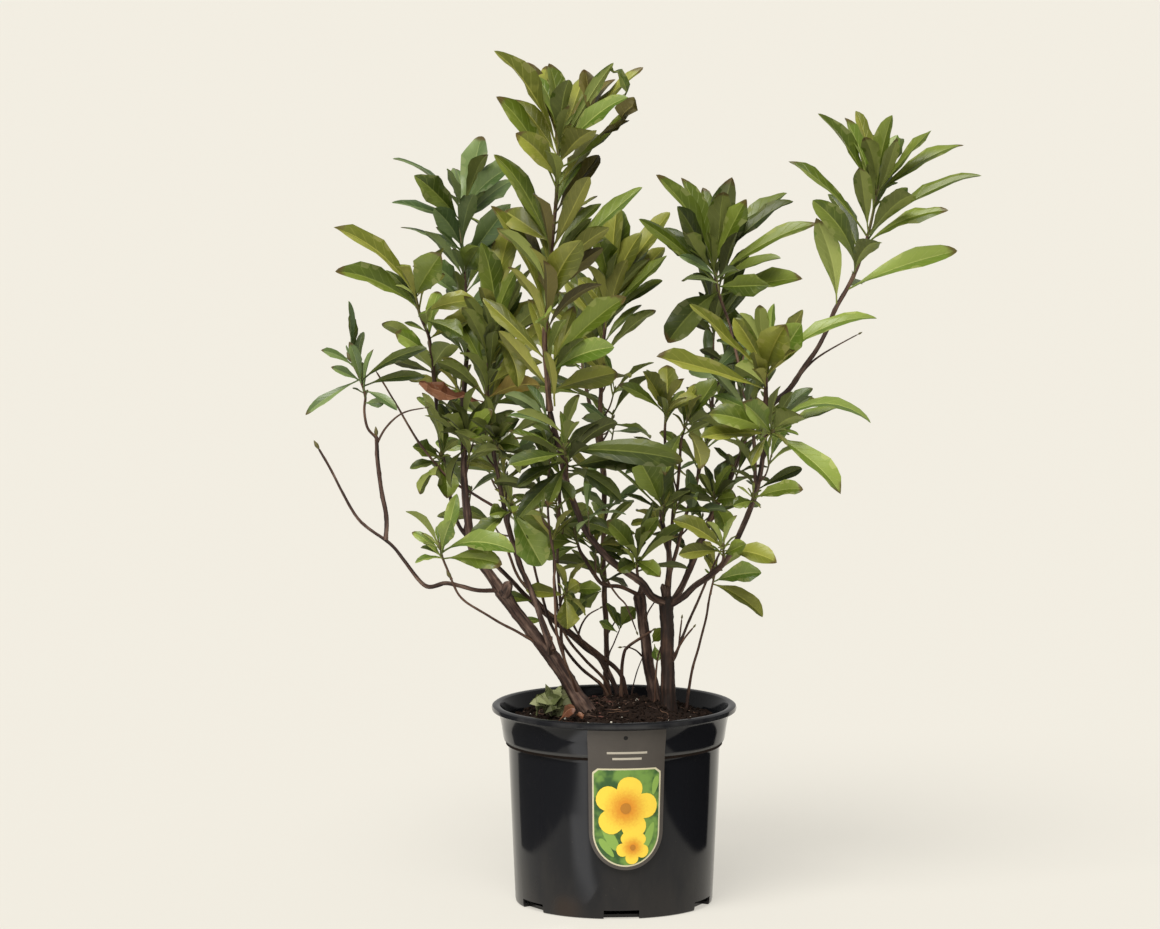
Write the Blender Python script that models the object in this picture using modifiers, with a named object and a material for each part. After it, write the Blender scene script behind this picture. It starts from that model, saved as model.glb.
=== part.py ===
"""Azalea shrub in a round nursery pot, as separate closed solids. Metres, +Z up.

The origin is the middle of the pot's underside. -Y is the front, where the label hangs.
Lengths below are in millimetres and become metres where a mesh is made.
"""
import math
import random

import bpy
import bmesh
from mathutils import Vector, noise
from mathutils.bvhtree import BVHTree

MM = 0.001
GAP = 0.3                      # air between touching pieces
SEED = 29

# Pot: a thin moulded tub with a collar under a rolled lip, and notches round its foot
POT_HEIGHT = 187.0
LIP_RADIUS = 115.0
LIP_DEPTH = 6.0
COLLAR_TOP_RADIUS = 108.0
COLLAR_FOOT_RADIUS = 104.0
COLLAR_FOOT_HEIGHT = 156.0
BODY_TOP_RADIUS = 99.5
BODY_TOP_HEIGHT = 151.0
FOOT_RADIUS = 92.7
WALL = 2.0
FLOOR = 3.0
POT_STEPS = 36
NOTCHES = 6
NOTCH_WIDTH = 33.0
NOTCH_HEIGHT = 8.0
NOTCH_TURN = 4.0               # degrees that the front notch stands to the right

# Soil: fills the pot and heaps up in the middle
SOIL_EDGE_HEIGHT = 168.0
SOIL_MOUND = 22.0
SOIL_ROUGHNESS = 3.0
POCKET_SPREAD = 20.0           # how much wider a stem's pocket gets in 30 mm

# Label: a strip that hangs under the lip, with a round lower end
LABEL_WIDTH = 72.0
LABEL_TOP = 179.4
LABEL_LENGTH = 132.0
LABEL_THICKNESS = 0.9
LABEL_TURN = 6.2               # degrees to the right of the front
LABEL_COLUMNS = 6
LABEL_ROWS = 8

# Limbs: path points (side, depth, height), radius at the foot and at the tip.
# A limb whose carrier is None stands in the soil.
LIMBS = {
    "trunk_left": (None, 10.5, 7.0, [
        (-25, -30, 183), (-37, -29, 202), (-51, -30, 225), (-65, -32, 245),
        (-86, -35, 273), (-108, -40, 303)]),
    "trunk_middle": (None, 6.0, 4.8, [
        (39, 20, 190), (36, 19, 206), (31, 16, 235), (27, 13, 264), (23, 10, 291)]),
    "trunk_right": (None, 7.0, 6.0, [
        (51, -10, 184), (51, -10, 201), (50, -8, 239), (49, -5, 291)]),
    "stem_cross": (None, 3.6, 2.0, [
        (6, 35, 194), (-9, 36, 218), (-27, 36, 234), (-49, 34, 254), (-79, 26, 281),
        (-103, 14, 308), (-122, 4, 328), (-143, 2, 352), (-153, 2, 380), (-159, 0, 412),
        (-164, -5, 451), (-167, -10, 489)]),
    "stem_front": (None, 2.2, 1.5, [
        (-34, 14, 194), (-45, 8, 219), (-49, 0, 247), (-51, -8, 286), (-53, -14, 325),
        (-51, -22, 382)]),
    "stem_back": (None, 3.0, 2.2, [
        (-7, 45, 190), (-7, 48, 230), (-8, 52, 277), (-10, 58, 324), (-9, 64, 371),
        (-10, 70, 409), (-13, 76, 446), (-12, 82, 493)]),
    "stem_red": (None, 1.6, 1.1, [
        (68, 12, 190), (73, 16, 214), (80, 20, 239), (87, 22, 268), (91, 20, 290)]),
    "leader_left": ("trunk_left", 6.2, 2.4, [
        (-110, -41, 306), (-117, -42, 315), (-126, -42, 330), (-134, -38, 348), (-137, -32, 374),
        (-140, -20, 410), (-141, -12, 447), (-140, -5, 483), (-137, 5, 520)]),
    "bough_left_low": ("trunk_left", 3.4, 1.4, [
        (-113, -47, 293), (-126, -50, 301), (-141, -51, 305), (-157, -54, 309), (-175, -58, 307),
        (-194, -62, 330), (-209, -64, 348), (-237, -66, 371), (-260, -68, 414),
        (-273, -70, 437)]),
    "bough_left_upright": ("bough_left_low", 2.8, 2.4, [
        (-210, -58, 353), (-211, -56, 370), (-217, -55, 405), (-220, -54, 447)]),
    "stem_inner_left": ("trunk_left", 3.6, 2.0, [
        (-54, -42, 239), (-62, -44, 253), (-73, -40, 285), (-81, -32, 308), (-90, -26, 326),
        (-100, -22, 363), (-105, -22, 391), (-112, -22, 424), (-117, -24, 462)]),
    "stem_fine": ("trunk_left", 1.7, 1.2, [
        (-48, -42, 226), (-52, -58, 256), (-56, -62, 308), (-55, -62, 327), (-60, -64, 360),
        (-62, -66, 397)]),
    "bough_middle_left": ("trunk_middle", 2.5, 1.9, [
        (21, 8, 291), (6, 4, 297), (-10, 0, 299), (-19, -2, 310), (-29, -4, 327)]),
    "bough_centre": ("trunk_right", 5.2, 3.0, [
        (41, -12, 283), (35, -17, 291), (26, -23, 304), (10, -30, 317), (-8, -38, 333), (-25, -46, 355),
        (-37, -54, 382), (-46, -62, 411), (-53, -70, 444), (-60, -77, 473)]),
    "bough_right_inner": ("trunk_right", 4.2, 1.6, [
        (49, -4, 294), (51, 3, 306), (52, 8, 318), (51, 10, 333), (45, 8, 360), (46, 4, 388),
        (47, 0, 422)]),
    "bough_red": ("bough_right_inner", 2.0, 1.4, [
        (54, 16, 348), (55, 17, 364), (58, 13, 382), (61, 6, 407), (62, 2, 431)]),
    "bough_back_right": ("trunk_right", 4.2, 3.2, [
        (54, 6, 275), (62, 17, 292), (72, 26, 314), (85, 36, 342), (96, 44, 366), (107, 50, 388),
        (116, 54, 408)]),
    "bough_right": ("trunk_right", 4.2, 2.6, [
        (58, -12, 280), (65, -15, 290), (76, -18, 302), (91, -22, 313), (104, -26, 326), (117, -30, 353),
        (129, -33, 384), (136, -35, 414), (139, -36, 440), (140, -37, 464), (140, -38, 476)]),
    "bough_high_right": ("bough_right", 2.9, 2.1, [
        (143, -36, 471), (158, -32, 483), (175, -28, 505), (190, -24, 528), (199, -21, 545)]),
    "stem_high_right": ("bough_right", 2.0, 1.3, [
        (134, -28, 438), (128, 0, 467), (120, 15, 493), (114, 30, 517), (108, 45, 542),
        (102, 55, 558)]),
    "stem_back_right": ("bough_right_inner", 2.2, 1.4, [
        (56, 18, 324), (64, 28, 348), (74, 42, 378), (83, 56, 410), (91, 66, 438), (94, 78, 475),
        (94, 90, 512)]),
    "twig_left_low": ("trunk_left", 1.5, 1.1, [
        (-88, -44, 261), (-106, -50, 271), (-128, -56, 285), (-143, -60, 298),
        (-152, -64, 316)]),
    "bough_back_left": ("stem_inner_left", 2.6, 1.9, [
        (-80, -24, 300), (-96, 30, 335), (-105, 88, 368), (-112, 145, 404)]),
    "bough_back_middle": ("stem_back", 2.2, 1.8, [
        (-13, 80, 420), (-17, 112, 434), (-21, 145, 447)]),
}

# Foliage. Each mass has a stem path (side, depth, height) and its own leaves.
# A leaf is (rise, side, up, front, width, face, bend): how far up its twig the leaf stands
# (0 to 1), how far its tip is to the right, above and in front of its foot, its width,
# how squarely its upper side faces the front in degrees (minus shows the underside), and
# how many degrees its rib turns. "fill" is (count, length, share of the sideways spread).
MASSES = {
    "foliage_top": ("bough_centre", 2.6, 1.2, [
        (-62, -80, 494), (-64, -84, 533), (-61, -90, 575), (-58, -95, 617),
        (-54, -100, 663), (-52, -104, 704), (-51, -105, 724)], [
        (.95, -56, 93, 10, 30, 30, 30), (.82, -52, 85, 15, 30, 35, 30),
        (.98, -30, 73, -35, 26, 30, 10), (1.0, -10, 64, -45, 28, 50, 0),
        (.98, 8, 60, 30, 24, -50, 10), (.97, 24, 65, -50, 28, 50, 20),
        (.95, 50, 67, -20, 26, 35, 20), (.93, 61, 57, 15, 24, 45, 15),
        (.95, 49, 82, 5, 14, -70, -20), (.95, 78, 75, -15, 20, 20, 20),
        (.89, 66, 54, 0, 18, 30, -45), (.90, 31, 35, 60, 30, -60, 30),
        (.73, 40, 50, -40, 26, 45, 10), (.82, 36, 47, -60, 24, 40, 10),
        (.59, -49, 91, 25, 30, 42, 15), (.35, -51, 102, -10, 26, 35, 10),
        (.50, 84, 82, 0, 26, 30, 15), (.37, 31, 69, 40, 32, 75, 10),
        (.40, 50, 58, -45, 28, 50, 10), (.69, 40, 24, -20, 14, 10, 15),
        (.65, 35, 22, -50, 20, 40, 10), (.17, 70, 66, 20, 28, 50, 10),
        (.14, 59, 29, 45, 26, 50, 20), (.08, 60, 12, -40, 28, 50, 10)],
        (9, 72, 0.5)),
    "foliage_upper_left": ("leader_left", 2.1, 1.2, [
        (-137, 6, 522), (-138, 12, 543), (-140, 22, 579), (-142, 32, 611), (-144, 38, 628),
        (-142, 42, 647)], [
        (1.0, -63, 52, 10, 26, 8, 35), (.92, -41, 46, 35, 30, 60, 10),
        (.92, -64, 21, 20, 22, 25, 15), (.72, -26, 41, 30, 26, 55, 10),
        (1.0, -13, 43, 35, 14, -50, 10), (1.0, -7, 38, -50, 24, 60, 10),
        (.98, 17, 72, -35, 28, 70, 10), (.98, 37, 52, -30, 22, 25, 20),
        (.98, 47, 46, 25, 26, 40, 25), (.72, -57, 23, 0, 18, 12, 5),
        (.70, -24, 25, 15, 12, 40, -20), (.98, 38, -45, 30, 20, 25, 60),
        (.65, 30, 20, 40, 26, 60, 15), (.55, 15, 28, 50, 28, 70, 10),
        (.15, 12, 22, 30, 22, -70, 10), (.40, -30, 30, 25, 26, 50, 20),
        (.30, 35, 10, 25, 26, 50, 25)],
        (9, 68, 0.6)),
    "foliage_left_top": ("stem_cross", 1.9, 1.1, [
        (-167, -11, 491), (-169, -16, 511), (-173, -22, 537), (-180, -28, 556),
        (-184, -32, 574)], [
        (.98, -75, 66, 10, 28, 35, 30), (.86, -75, 37, 20, 28, 45, 15),
        (1.0, 25, 42, 40, 34, 75, 20), (1.0, -18, 28, -30, 18, 30, 10),
        (.98, 26, 24, 20, 24, -50, 10), (.80, 52, 13, 0, 24, 50, 20),
        (.72, 38, -13, 20, 24, 50, 30), (.20, 18, 27, 45, 28, -75, 10),
        (.15, -16, 22, 30, 18, -60, 10), (.50, 50, 20, -25, 26, 50, 20)],
        (7, 62, 0.5)),
    "foliage_left_tip": ("bough_left_upright", 1.2, 0.9, [
        (-222, -58, 444), (-228, -58, 454), (-231, -58, 469), (-230, -58, 483),
        (-233, -57, 493), (-237, -56, 504), (-243, -55, 516)], [
        (1.0, -1, 56, 10, 12, 30, 5), (.92, -30, 16, 10, 18, 35, 20),
        (.75, -50, -31, 10, 16, 50, 35), (.74, -26, 14, 15, 14, 50, 15),
        (.60, 8, 40, 5, 10, 40, 10), (.85, 64, 38, 10, 20, 40, 45),
        (.72, 62, 34, 25, 20, 45, 35), (.66, 58, 12, 20, 16, 60, 15),
        (.70, -9, 40, 18, 16, 60, 10), (.62, 32, -16, 20, 14, 50, 25),
        (.46, 18, 1, 8, 14, 80, 10)],
        (3, 45, 0.5)),
    "foliage_inner_left": ("stem_inner_left", 1.9, 1.2, [
        (-117, -24, 464), (-118, -26, 478), (-118, -28, 500), (-115, -30, 521),
        (-112, -32, 538)], [
        (.55, 30, 100, 10, 26, 30, 25), (.80, 36, 77, 30, 22, -30, 10),
        (1.0, -11, 85, -20, 28, 65, 5), (.50, 47, 69, -25, 30, 60, 10),
        (.35, 50, 26, 25, 22, 40, 15), (.20, 49, 18, 45, 28, -70, 20),
        (.15, -64, 17, 14, 24, 45, -20), (.12, 54, -3, -30, 26, 50, 20),
        (.95, 24, -40, 30, 24, 60, 60)],
        (6, 66, 0.5)),
    "foliage_back_middle": ("stem_back", 2.0, 1.2, [
        (-12, 83, 495), (-10, 88, 516), (-8, 94, 538), (-5, 98, 554), (-4, 100, 571)], [
        (.98, 12, 73, -20, 34, 80, 5), (.96, -13, 55, 20, 28, 60, 10),
        (.94, 30, 57, 10, 28, 60, 10), (.90, 58, 78, -10, 26, 45, 10),
        (.70, 57, 54, 10, 20, 40, 10), (.70, -27, 31, -10, 24, 50, 10),
        (.30, 38, 22, -30, 26, 50, 20), (.20, -34, 26, 20, 26, 50, 20)],
        (9, 70, 0.5)),
    "foliage_right_middle": ("stem_high_right", 1.3, 1.0, [
        (102, 56, 560), (99, 60, 566), (96, 64, 577), (94, 68, 592)], [
        (.90, -56, 92, 20, 26, 35, 35), (.90, -29, 88, -20, 28, 45, 10),
        (.85, -34, 66, 35, 26, 45, 5), (.90, -27, 44, 55, 22, -50, 5),
        (.95, -9, 75, -30, 22, 50, 5), (1.0, 17, 82, -35, 30, -75, 5),
        (1.0, 30, 66, 25, 26, 50, 5), (.95, 73, 66, -10, 24, 35, 25),
        (.95, 70, 70, -40, 22, 30, 25), (.70, 95, 55, 10, 22, 35, 30),
        (.60, 60, 26, 25, 18, 30, 20), (.50, 47, 5, 40, 26, 70, 10),
        (.25, 77, 19, 20, 26, 45, -15), (.60, -73, 62, 25, 26, 35, 5),
        (.35, -48, -45, 30, 34, 70, 60)],
        (6, 70, 0.5)),
    "foliage_middle_back": ("stem_back_right", 1.4, 1.0, [
        (94, 91, 514), (95, 96, 524), (96, 100, 539)], [
        (.50, -25, 22, 10, 24, -60, 10), (.70, -8, 34, 0, 16, 60, 10)],
        (8, 72, 0.6)),
    "foliage_high_right": ("bough_high_right", 2.1, 1.1, [
        (200, -21, 547), (205, -20, 561), (216, -17, 580), (226, -14, 601), (235, -10, 628),
        (240, -8, 650), (243, -6, 666)], [
        (.93, -53, 85, 15, 26, 35, 20), (.95, -28, 77, -10, 26, 40, 20),
        (.97, -16, 80, -35, 24, 45, 15), (.98, 0, 56, -50, 26, 70, 5),
        (.98, 2, 62, -25, 18, 50, -30), (.98, 16, 57, 35, 26, -50, 10),
        (1.0, 21, 53, -30, 26, 50, 5), (1.0, 49, 60, 10, 20, 25, 5),
        (1.0, 80, 48, -10, 26, 35, 15), (.70, 103, 58, 10, 24, 30, 30),
        (.69, 38, 44, 45, 32, -60, 25), (.62, 76, 35, 20, 22, 40, 45),
        (.69, -72, 71, -5, 24, 30, 35), (.43, -42, 68, 30, 30, 60, 50),
        (.14, -20, 84, 25, 28, -75, 0), (.28, 103, 36, 0, 28, 45, 25)],
        (9, 76, 0.45)),
    "foliage_right_crown": ("bough_right", 2.3, 1.2, [
        (140, -38, 478), (140, -39, 487), (140, -40, 498), (142, -42, 513)], [
        (.75, 16, 49, 50, 36, 75, 15), (.70, 30, 49, 30, 34, 60, -5),
        (.95, -10, 34, -40, 26, 60, 10), (.70, -30, 52, -20, 28, 60, -10),
        (.65, -70, 70, 15, 22, 30, -10), (.60, -72, 39, -5, 18, 20, 15),
        (.40, -29, 20, 10, 24, -70, 15), (.55, 101, 59, 20, 20, 40, 75),
        (.35, -12, 36, 40, 20, -50, 10), (.30, -102, 33, 25, 26, 45, 20)],
        (7, 66, 0.5)),
    "foliage_right_side": ("bough_right", 1.4, 1.1, [
        (141, -40, 448), (143, -47, 447), (145, -56, 450)], [
        (.80, 92, 9, 5, 26, 45, 60), (.70, 64, 23, -15, 18, 20, 10),
        (.90, 26, 20, 30, 30, -60, 20), (.55, 83, -13, 10, 22, 15, 30),
        (.60, 65, -52, 25, 28, 50, 40), (.75, 25, 0, 20, 8, 20, 30),
        (.95, -57, 20, 20, 28, 60, 50), (.85, -27, 33, 45, 26, 60, 10),
        (.70, -65, 0, 25, 22, 40, 5), (.60, -18, -28, 15, 14, 50, 20)],
        (3, 55, 0.5)),
    "foliage_centre_right": ("bough_right_inner", 1.4, 1.0, [
        (47, 0, 424), (47, -4, 438), (48, -10, 463)], [
        (.98, 1, 43, -30, 24, 75, 5), (.96, -44, 29, 10, 20, 40, 30),
        (.96, 32, 15, -10, 20, 40, 20), (.70, 23, 12, 25, 16, 50, 15)],
        (6, 58, 0.6)),
    "foliage_red_tip": ("bough_red", 1.3, 1.0, [
        (63, 2, 433), (64, 0, 441), (68, -4, 455)], [
        (.90, 28, 39, -15, 26, 60, 10), (.60, -18, -40, 25, 24, 50, 30),
        (.75, 15, -38, 20, 22, -50, 30), (.80, -24, -8, 30, 22, 55, 20)],
        (5, 56, 0.6)),
    "foliage_centre": ("bough_centre", 1.6, 1.2, [
        (-45, -68, 414), (-44, -80, 422), (-46, -94, 438)], [
        (.95, 108, -7, 15, 30, 60, 45), (.35, 84, 19, 25, 34, 70, 30),
        (.30, 46, -8, 30, 26, 65, 15), (.85, -52, -8, 20, 22, 45, 20),
        (.90, -52, 18, -10, 14, 10, 10), (.60, -45, -22, 15, 18, 40, 20),
        (.50, -17, -36, 20, 16, 60, 20), (.40, -45, -45, 20, 20, 60, 15),
        (.45, 50, -32, 5, 20, 60, 25)],
        (3, 50, 0.5)),
    "foliage_left_low": ("twig_left_low", 1.1, 0.9, [
        (-153, -65, 318), (-156, -66, 326), (-159, -68, 335), (-161, -69, 343)], [
        (.90, 42, 74, 25, 34, 65, 25), (.85, 68, 6, 35, 26, 50, 60),
        (.70, -25, -3, 10, 10, 30, 10), (.75, -20, 6, -15, 10, 30, 10),
        (.65, 55, 0, 45, 24, 70, 20)],
        (3, 55, 0.5)),
    "foliage_left_inner_low": ("stem_inner_left", 1.3, 1.0, [
        (-100, -26, 366), (-97, -34, 371), (-96, -42, 378)], [
        (.90, 29, -51, 15, 36, 80, 30), (.80, 35, -33, 0, 30, 60, 50),
        (.60, -19, 0, 15, 18, 50, 10), (.70, -34, -28, 25, 24, 50, 40)],
        (3, 46, 0.5)),
    "foliage_front_top": ("stem_fine", 1.1, 0.9, [
        (-62, -66, 399), (-61, -66, 410), (-60, -66, 426)], [
        (.95, -5, 28, -10, 20, 70, 10), (.50, 23, -22, 20, 16, 50, 20),
        (.80, -14, 32, 15, 16, 50, 10)],
        (3, 42, 0.5)),
    "foliage_front_stem": ("stem_front", 1.4, 1.0, [
        (-51, -23, 384), (-50, -24, 396), (-48, -24, 412)], [
        (.60, -30, 20, 10, 18, 50, 20)],
        (4, 50, 0.6)),
    "foliage_low_middle": ("stem_front", 1.2, 0.9, [
        (-50, -11, 287), (-47, -17, 291), (-44, -23, 297)], [
        (.70, 2, -31, 12, 26, 70, 30), (.85, 33, 6, 20, 16, 60, 20),
        (.90, 12, 12, 25, 18, 60, 10), (.60, -36, 6, 10, 18, 60, 20)],
        (3, 42, 0.6)),
    "foliage_low_left": ("bough_middle_left", 1.5, 1.0, [
        (-30, -4, 329), (-34, -6, 337), (-36, -8, 347)], [
        (.60, -34, 6, 20, 22, 55, 10), (.50, -32, -12, 10, 16, 50, 10),
        (.80, 30, 16, 15, 18, 50, 20)],
        (3, 48, 0.6)),
    "foliage_heart": ("bough_centre", 1.3, 1.0, [
        (20, -27, 314), (20, -28, 321), (21, -30, 332)], [
        (.95, -71, 28, 0, 22, 40, 75), (1.0, 20, 37, 15, 18, 50, 10),
        (.95, -28, 37, 30, 22, 60, 20), (.85, -32, 10, -20, 18, 40, 10),
        (.60, -18, -5, 20, 18, 60, 20), (.65, 22, -11, 25, 18, 60, 30)],
        (3, 44, 0.6)),
    "foliage_heart_upper": ("bough_right_inner", 1.3, 1.0, [
        (44, 4, 365), (43, -3, 367), (45, -12, 373)], [
        (.95, -24, 53, 25, 32, 75, 5), (.80, -36, 16, 5, 14, 20, 10),
        (.85, -3, 56, -8, 26, 60, 5), (.90, -47, 41, -15, 14, 10, 10)],
        (3, 46, 0.5)),
    "foliage_right_low": ("bough_right", 1.2, 1.0, [
        (102, -29, 325), (101, -35, 331), (101, -41, 339)], [
        (.95, -46, 30, 15, 22, 50, 45), (.80, -42, 0, 20, 18, 60, 20),
        (.85, 49, -8, 20, 24, 60, 20), (.60, 20, 14, 25, 18, 50, 20)],
        (3, 44, 0.6)),
    "foliage_red_stem": ("stem_red", 1.0, 0.8, [
        (91, 20, 292), (93, 20, 299), (95, 20, 308)], [
        (.50, 45, 11, 15, 24, 55, 20), (.40, 47, -30, 10, 20, 50, 30)],
        (3, 46, 0.6)),
    "foliage_right_back": ("bough_back_right", 1.4, 1.0, [
        (95, 40, 363), (93, 30, 368), (93, 24, 378)], [
        (.70, -29, 15, 15, 20, 50, 20), (.60, 12, -22, 25, 22, 70, 30),
        (.80, 18, 37, 10, 14, 50, 10)],
        (3, 46, 0.6)),
    "foliage_back_right": ("bough_back_right", 2.2, 1.2, [
        (117, 55, 410), (122, 78, 418), (126, 108, 432), (124, 138, 450), (120, 160, 476)], [
        (.20, -38, -14, -10, 26, -50, 20), (.18, -22, -32, 15, 24, 60, 20)],
        (14, 80, 0.6)),
    "foliage_right_mid": ("bough_right", 1.3, 1.0, [
        (128, -37, 380), (128, -44, 383), (128, -51, 389)], [
        (.80, 45, 12, 20, 20, 50, 15), (.60, -18, -2, 15, 16, 50, 10)],
        (3, 44, 0.6)),
    "foliage_leader": ("leader_left", 1.5, 1.0, [
        (-140, -18, 430), (-139, -26, 435), (-137, -34, 444)], [
        (.70, 24, 30, 20, 22, 60, 20), (.90, -12, 36, 15, 22, -50, 10)],
        (6, 56, 0.7)),
    "foliage_inner_mid": ("stem_inner_left", 1.4, 1.0, [
        (-112, -26, 427), (-110, -34, 432), (-108, -42, 442)], [
        (.80, 20, 24, 20, 16, 40, 10), (.70, 22, 0, 25, 20, 60, 20)],
        (5, 52, 0.7)),
    "foliage_cross": ("stem_cross", 1.4, 1.0, [
        (-158, -3, 412), (-160, -11, 416), (-161, -19, 423)], [
        (.70, -26, 15, 15, 20, 50, 15), (.60, -30, -6, 10, 14, 40, 20)],
        (5, 50, 0.6)),
    "foliage_back_left": ("bough_back_left", 1.9, 1.2, [
        (-112, 147, 406), (-116, 160, 422), (-120, 178, 446), (-118, 190, 474)], [],
        (15, 82, 0.55)),
    "foliage_back_top": ("bough_back_middle", 1.8, 1.2, [
        (-21, 147, 448), (-25, 166, 462), (-29, 182, 486), (-28, 190, 516)], [],
        (15, 82, 0.6)),
}

# Material finishes: colour, roughness
FINISHES = {
    "pot_plastic": ((0.012, 0.013, 0.016), 0.3),
    "peat": ((0.035, 0.022, 0.014), 0.95),
    "label_card": ((0.075, 0.065, 0.055), 0.45),
    "bark": ((0.075, 0.048, 0.036), 0.85),
    "leaf": ((0.13, 0.2, 0.045), 0.45),
}

parts = bpy.data.collections.new("azalea_in_pot")
cutters = bpy.data.collections.new("cutters")


def start_scene():
    for thing in list(bpy.data.objects):
        bpy.data.objects.remove(thing)
    bpy.context.scene.collection.children.link(parts)
    bpy.context.scene.collection.children.link(cutters)


def finish(name, tint=1.0):
    """A Principled material; tint brightens or darkens its colour."""
    colour, roughness = FINISHES[name]
    material = bpy.data.materials.new(name)
    material.use_nodes = True
    shader = material.node_tree.nodes["Principled BSDF"]
    shader.inputs["Base Color"].default_value = (*(c * tint for c in colour), 1)
    shader.inputs["Roughness"].default_value = roughness
    shader.inputs["Metallic"].default_value = 0.0
    return material


def add_object(name, mesh, material, collection=parts):
    thing = bpy.data.objects.new(name, mesh)
    collection.objects.link(thing)
    thing.data.materials.clear()
    thing.data.materials.append(material)
    return thing


def add_cutter(name, mesh):
    thing = bpy.data.objects.new(name, mesh)
    cutters.objects.link(thing)
    thing.hide_render = True
    thing.display_type = 'WIRE'
    return thing


def applied(thing):
    """The object with its modifiers made part of its mesh."""
    evaluated = thing.evaluated_get(bpy.context.evaluated_depsgraph_get())
    mesh = bpy.data.meshes.new_from_object(evaluated)
    thing.modifiers.clear()
    thing.data = mesh
    return thing


def turned(name, profile, steps, material):
    """A profile of (radius, height) spun round the Z axis, from its top down its outside."""
    mesh = bpy.data.meshes.new(name)
    points = [(r * MM, 0, z * MM) for r, z in profile]
    mesh.from_pydata(points, [(i, i + 1) for i in range(len(points) - 1)], [])
    thing = add_object(name, mesh, material)
    screw = thing.modifiers.new("turn", 'SCREW')
    screw.steps = screw.render_steps = steps
    screw.use_merge_vertices = True
    screw.merge_threshold = 1e-5
    screw.use_smooth_shade = False
    return applied(thing)


def make_pot():
    """The tub: floor, wall, collar and rolled lip in one wall, with notches at the foot."""
    inner_lip = COLLAR_TOP_RADIUS - WALL
    profile = [
        (0, FLOOR), (FOOT_RADIUS - WALL, FLOOR),
        (BODY_TOP_RADIUS - WALL, BODY_TOP_HEIGHT + 2),
        (COLLAR_FOOT_RADIUS - WALL, COLLAR_FOOT_HEIGHT + 2),
        (inner_lip, POT_HEIGHT - 1), (inner_lip + 1, POT_HEIGHT),
        (LIP_RADIUS - 2, POT_HEIGHT), (LIP_RADIUS, POT_HEIGHT - 2),
        (LIP_RADIUS, POT_HEIGHT - LIP_DEPTH), (COLLAR_TOP_RADIUS, POT_HEIGHT - LIP_DEPTH),
        (COLLAR_FOOT_RADIUS, COLLAR_FOOT_HEIGHT), (BODY_TOP_RADIUS, BODY_TOP_HEIGHT),
        (FOOT_RADIUS, 0), (0, 0)]
    pot = turned("pot", profile, POT_STEPS, finish("pot_plastic"))
    for i in range(NOTCHES):
        angle = math.radians(NOTCH_TURN + 360 / NOTCHES * i)
        bm = bmesh.new()
        bmesh.ops.create_cube(bm, size=1)
        for v in bm.verts:
            side = v.co.x * NOTCH_WIDTH
            reach = -FOOT_RADIUS + v.co.y * 16
            height = v.co.z * 2 * NOTCH_HEIGHT
            v.co = Vector((side * math.cos(angle) - reach * math.sin(angle),
                           side * math.sin(angle) + reach * math.cos(angle), height)) * MM
        mesh = bpy.data.meshes.new("notch")
        bm.to_mesh(mesh)
        cutter = add_cutter(f"notch_{i}", mesh)
        cut = pot.modifiers.new("notch", 'BOOLEAN')
        cut.operation = 'DIFFERENCE'
        cut.object = cutter
    applied(pot)
    pot.data.set_sharp_from_angle(angle=math.radians(35))
    return pot


def soil_height(x, y):
    """Height of the soil's top: a mound with small lumps."""
    reach = min(1.0, math.hypot(x, y) / COLLAR_FOOT_RADIUS)
    lumps = noise.noise(Vector((x * 0.045, y * 0.045, 3.7)))
    return SOIL_EDGE_HEIGHT + SOIL_MOUND * (1 - reach ** 1.8) + SOIL_ROUGHNESS * lumps


def seat_height(x, y, radius):
    """Height of the flat under a stem: just under the lowest soil round its foot."""
    ring = [i * math.pi / 4 for i in range(8)]
    return min(soil_height(x + radius * math.cos(a), y + radius * math.sin(a))
               for a in ring) - 1.0


def pocket_radius(foot_radius):
    return foot_radius * FLARE * 1.2 + 3


def make_soil():
    """Soil that fills the pot, with a flat pocket where each stem comes out."""
    edge = COLLAR_FOOT_RADIUS - WALL - GAP
    top_steps = 5
    profile = [(edge * i / top_steps, 170) for i in range(top_steps + 1)]
    profile += [
        (COLLAR_FOOT_RADIUS - WALL - GAP - 0.6, COLLAR_FOOT_HEIGHT + 1.5),
        (BODY_TOP_RADIUS - WALL - GAP - 0.4, BODY_TOP_HEIGHT + 1.5),
        (FOOT_RADIUS - WALL - GAP - 0.4, FLOOR + GAP), (0, FLOOR + GAP)]
    soil = turned("soil", profile, POT_STEPS, finish("peat"))
    for v in soil.data.vertices:
        if v.co.z > 169.9 * MM:
            v.co.z = soil_height(v.co.x / MM, v.co.y / MM) * MM
    for name, (carrier, foot, _, path) in LIMBS.items():
        if carrier is None:
            x, y, _ = path[0]
            radius = pocket_radius(foot)
            seat = seat_height(x, y, radius)
            bm = bmesh.new()
            bmesh.ops.create_cone(bm, cap_ends=True, segments=10, radius1=radius * MM,
                                  radius2=(radius + POCKET_SPREAD) * MM, depth=30 * MM)
            bmesh.ops.translate(bm, verts=bm.verts,
                                vec=Vector((x, y, seat + 15)) * MM)
            mesh = bpy.data.meshes.new("pocket")
            bm.to_mesh(mesh)
            cut = soil.modifiers.new("pocket", 'BOOLEAN')
            cut.operation = 'DIFFERENCE'
            cut.object = add_cutter(f"pocket_{name}", mesh)
    return applied(soil)


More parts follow.
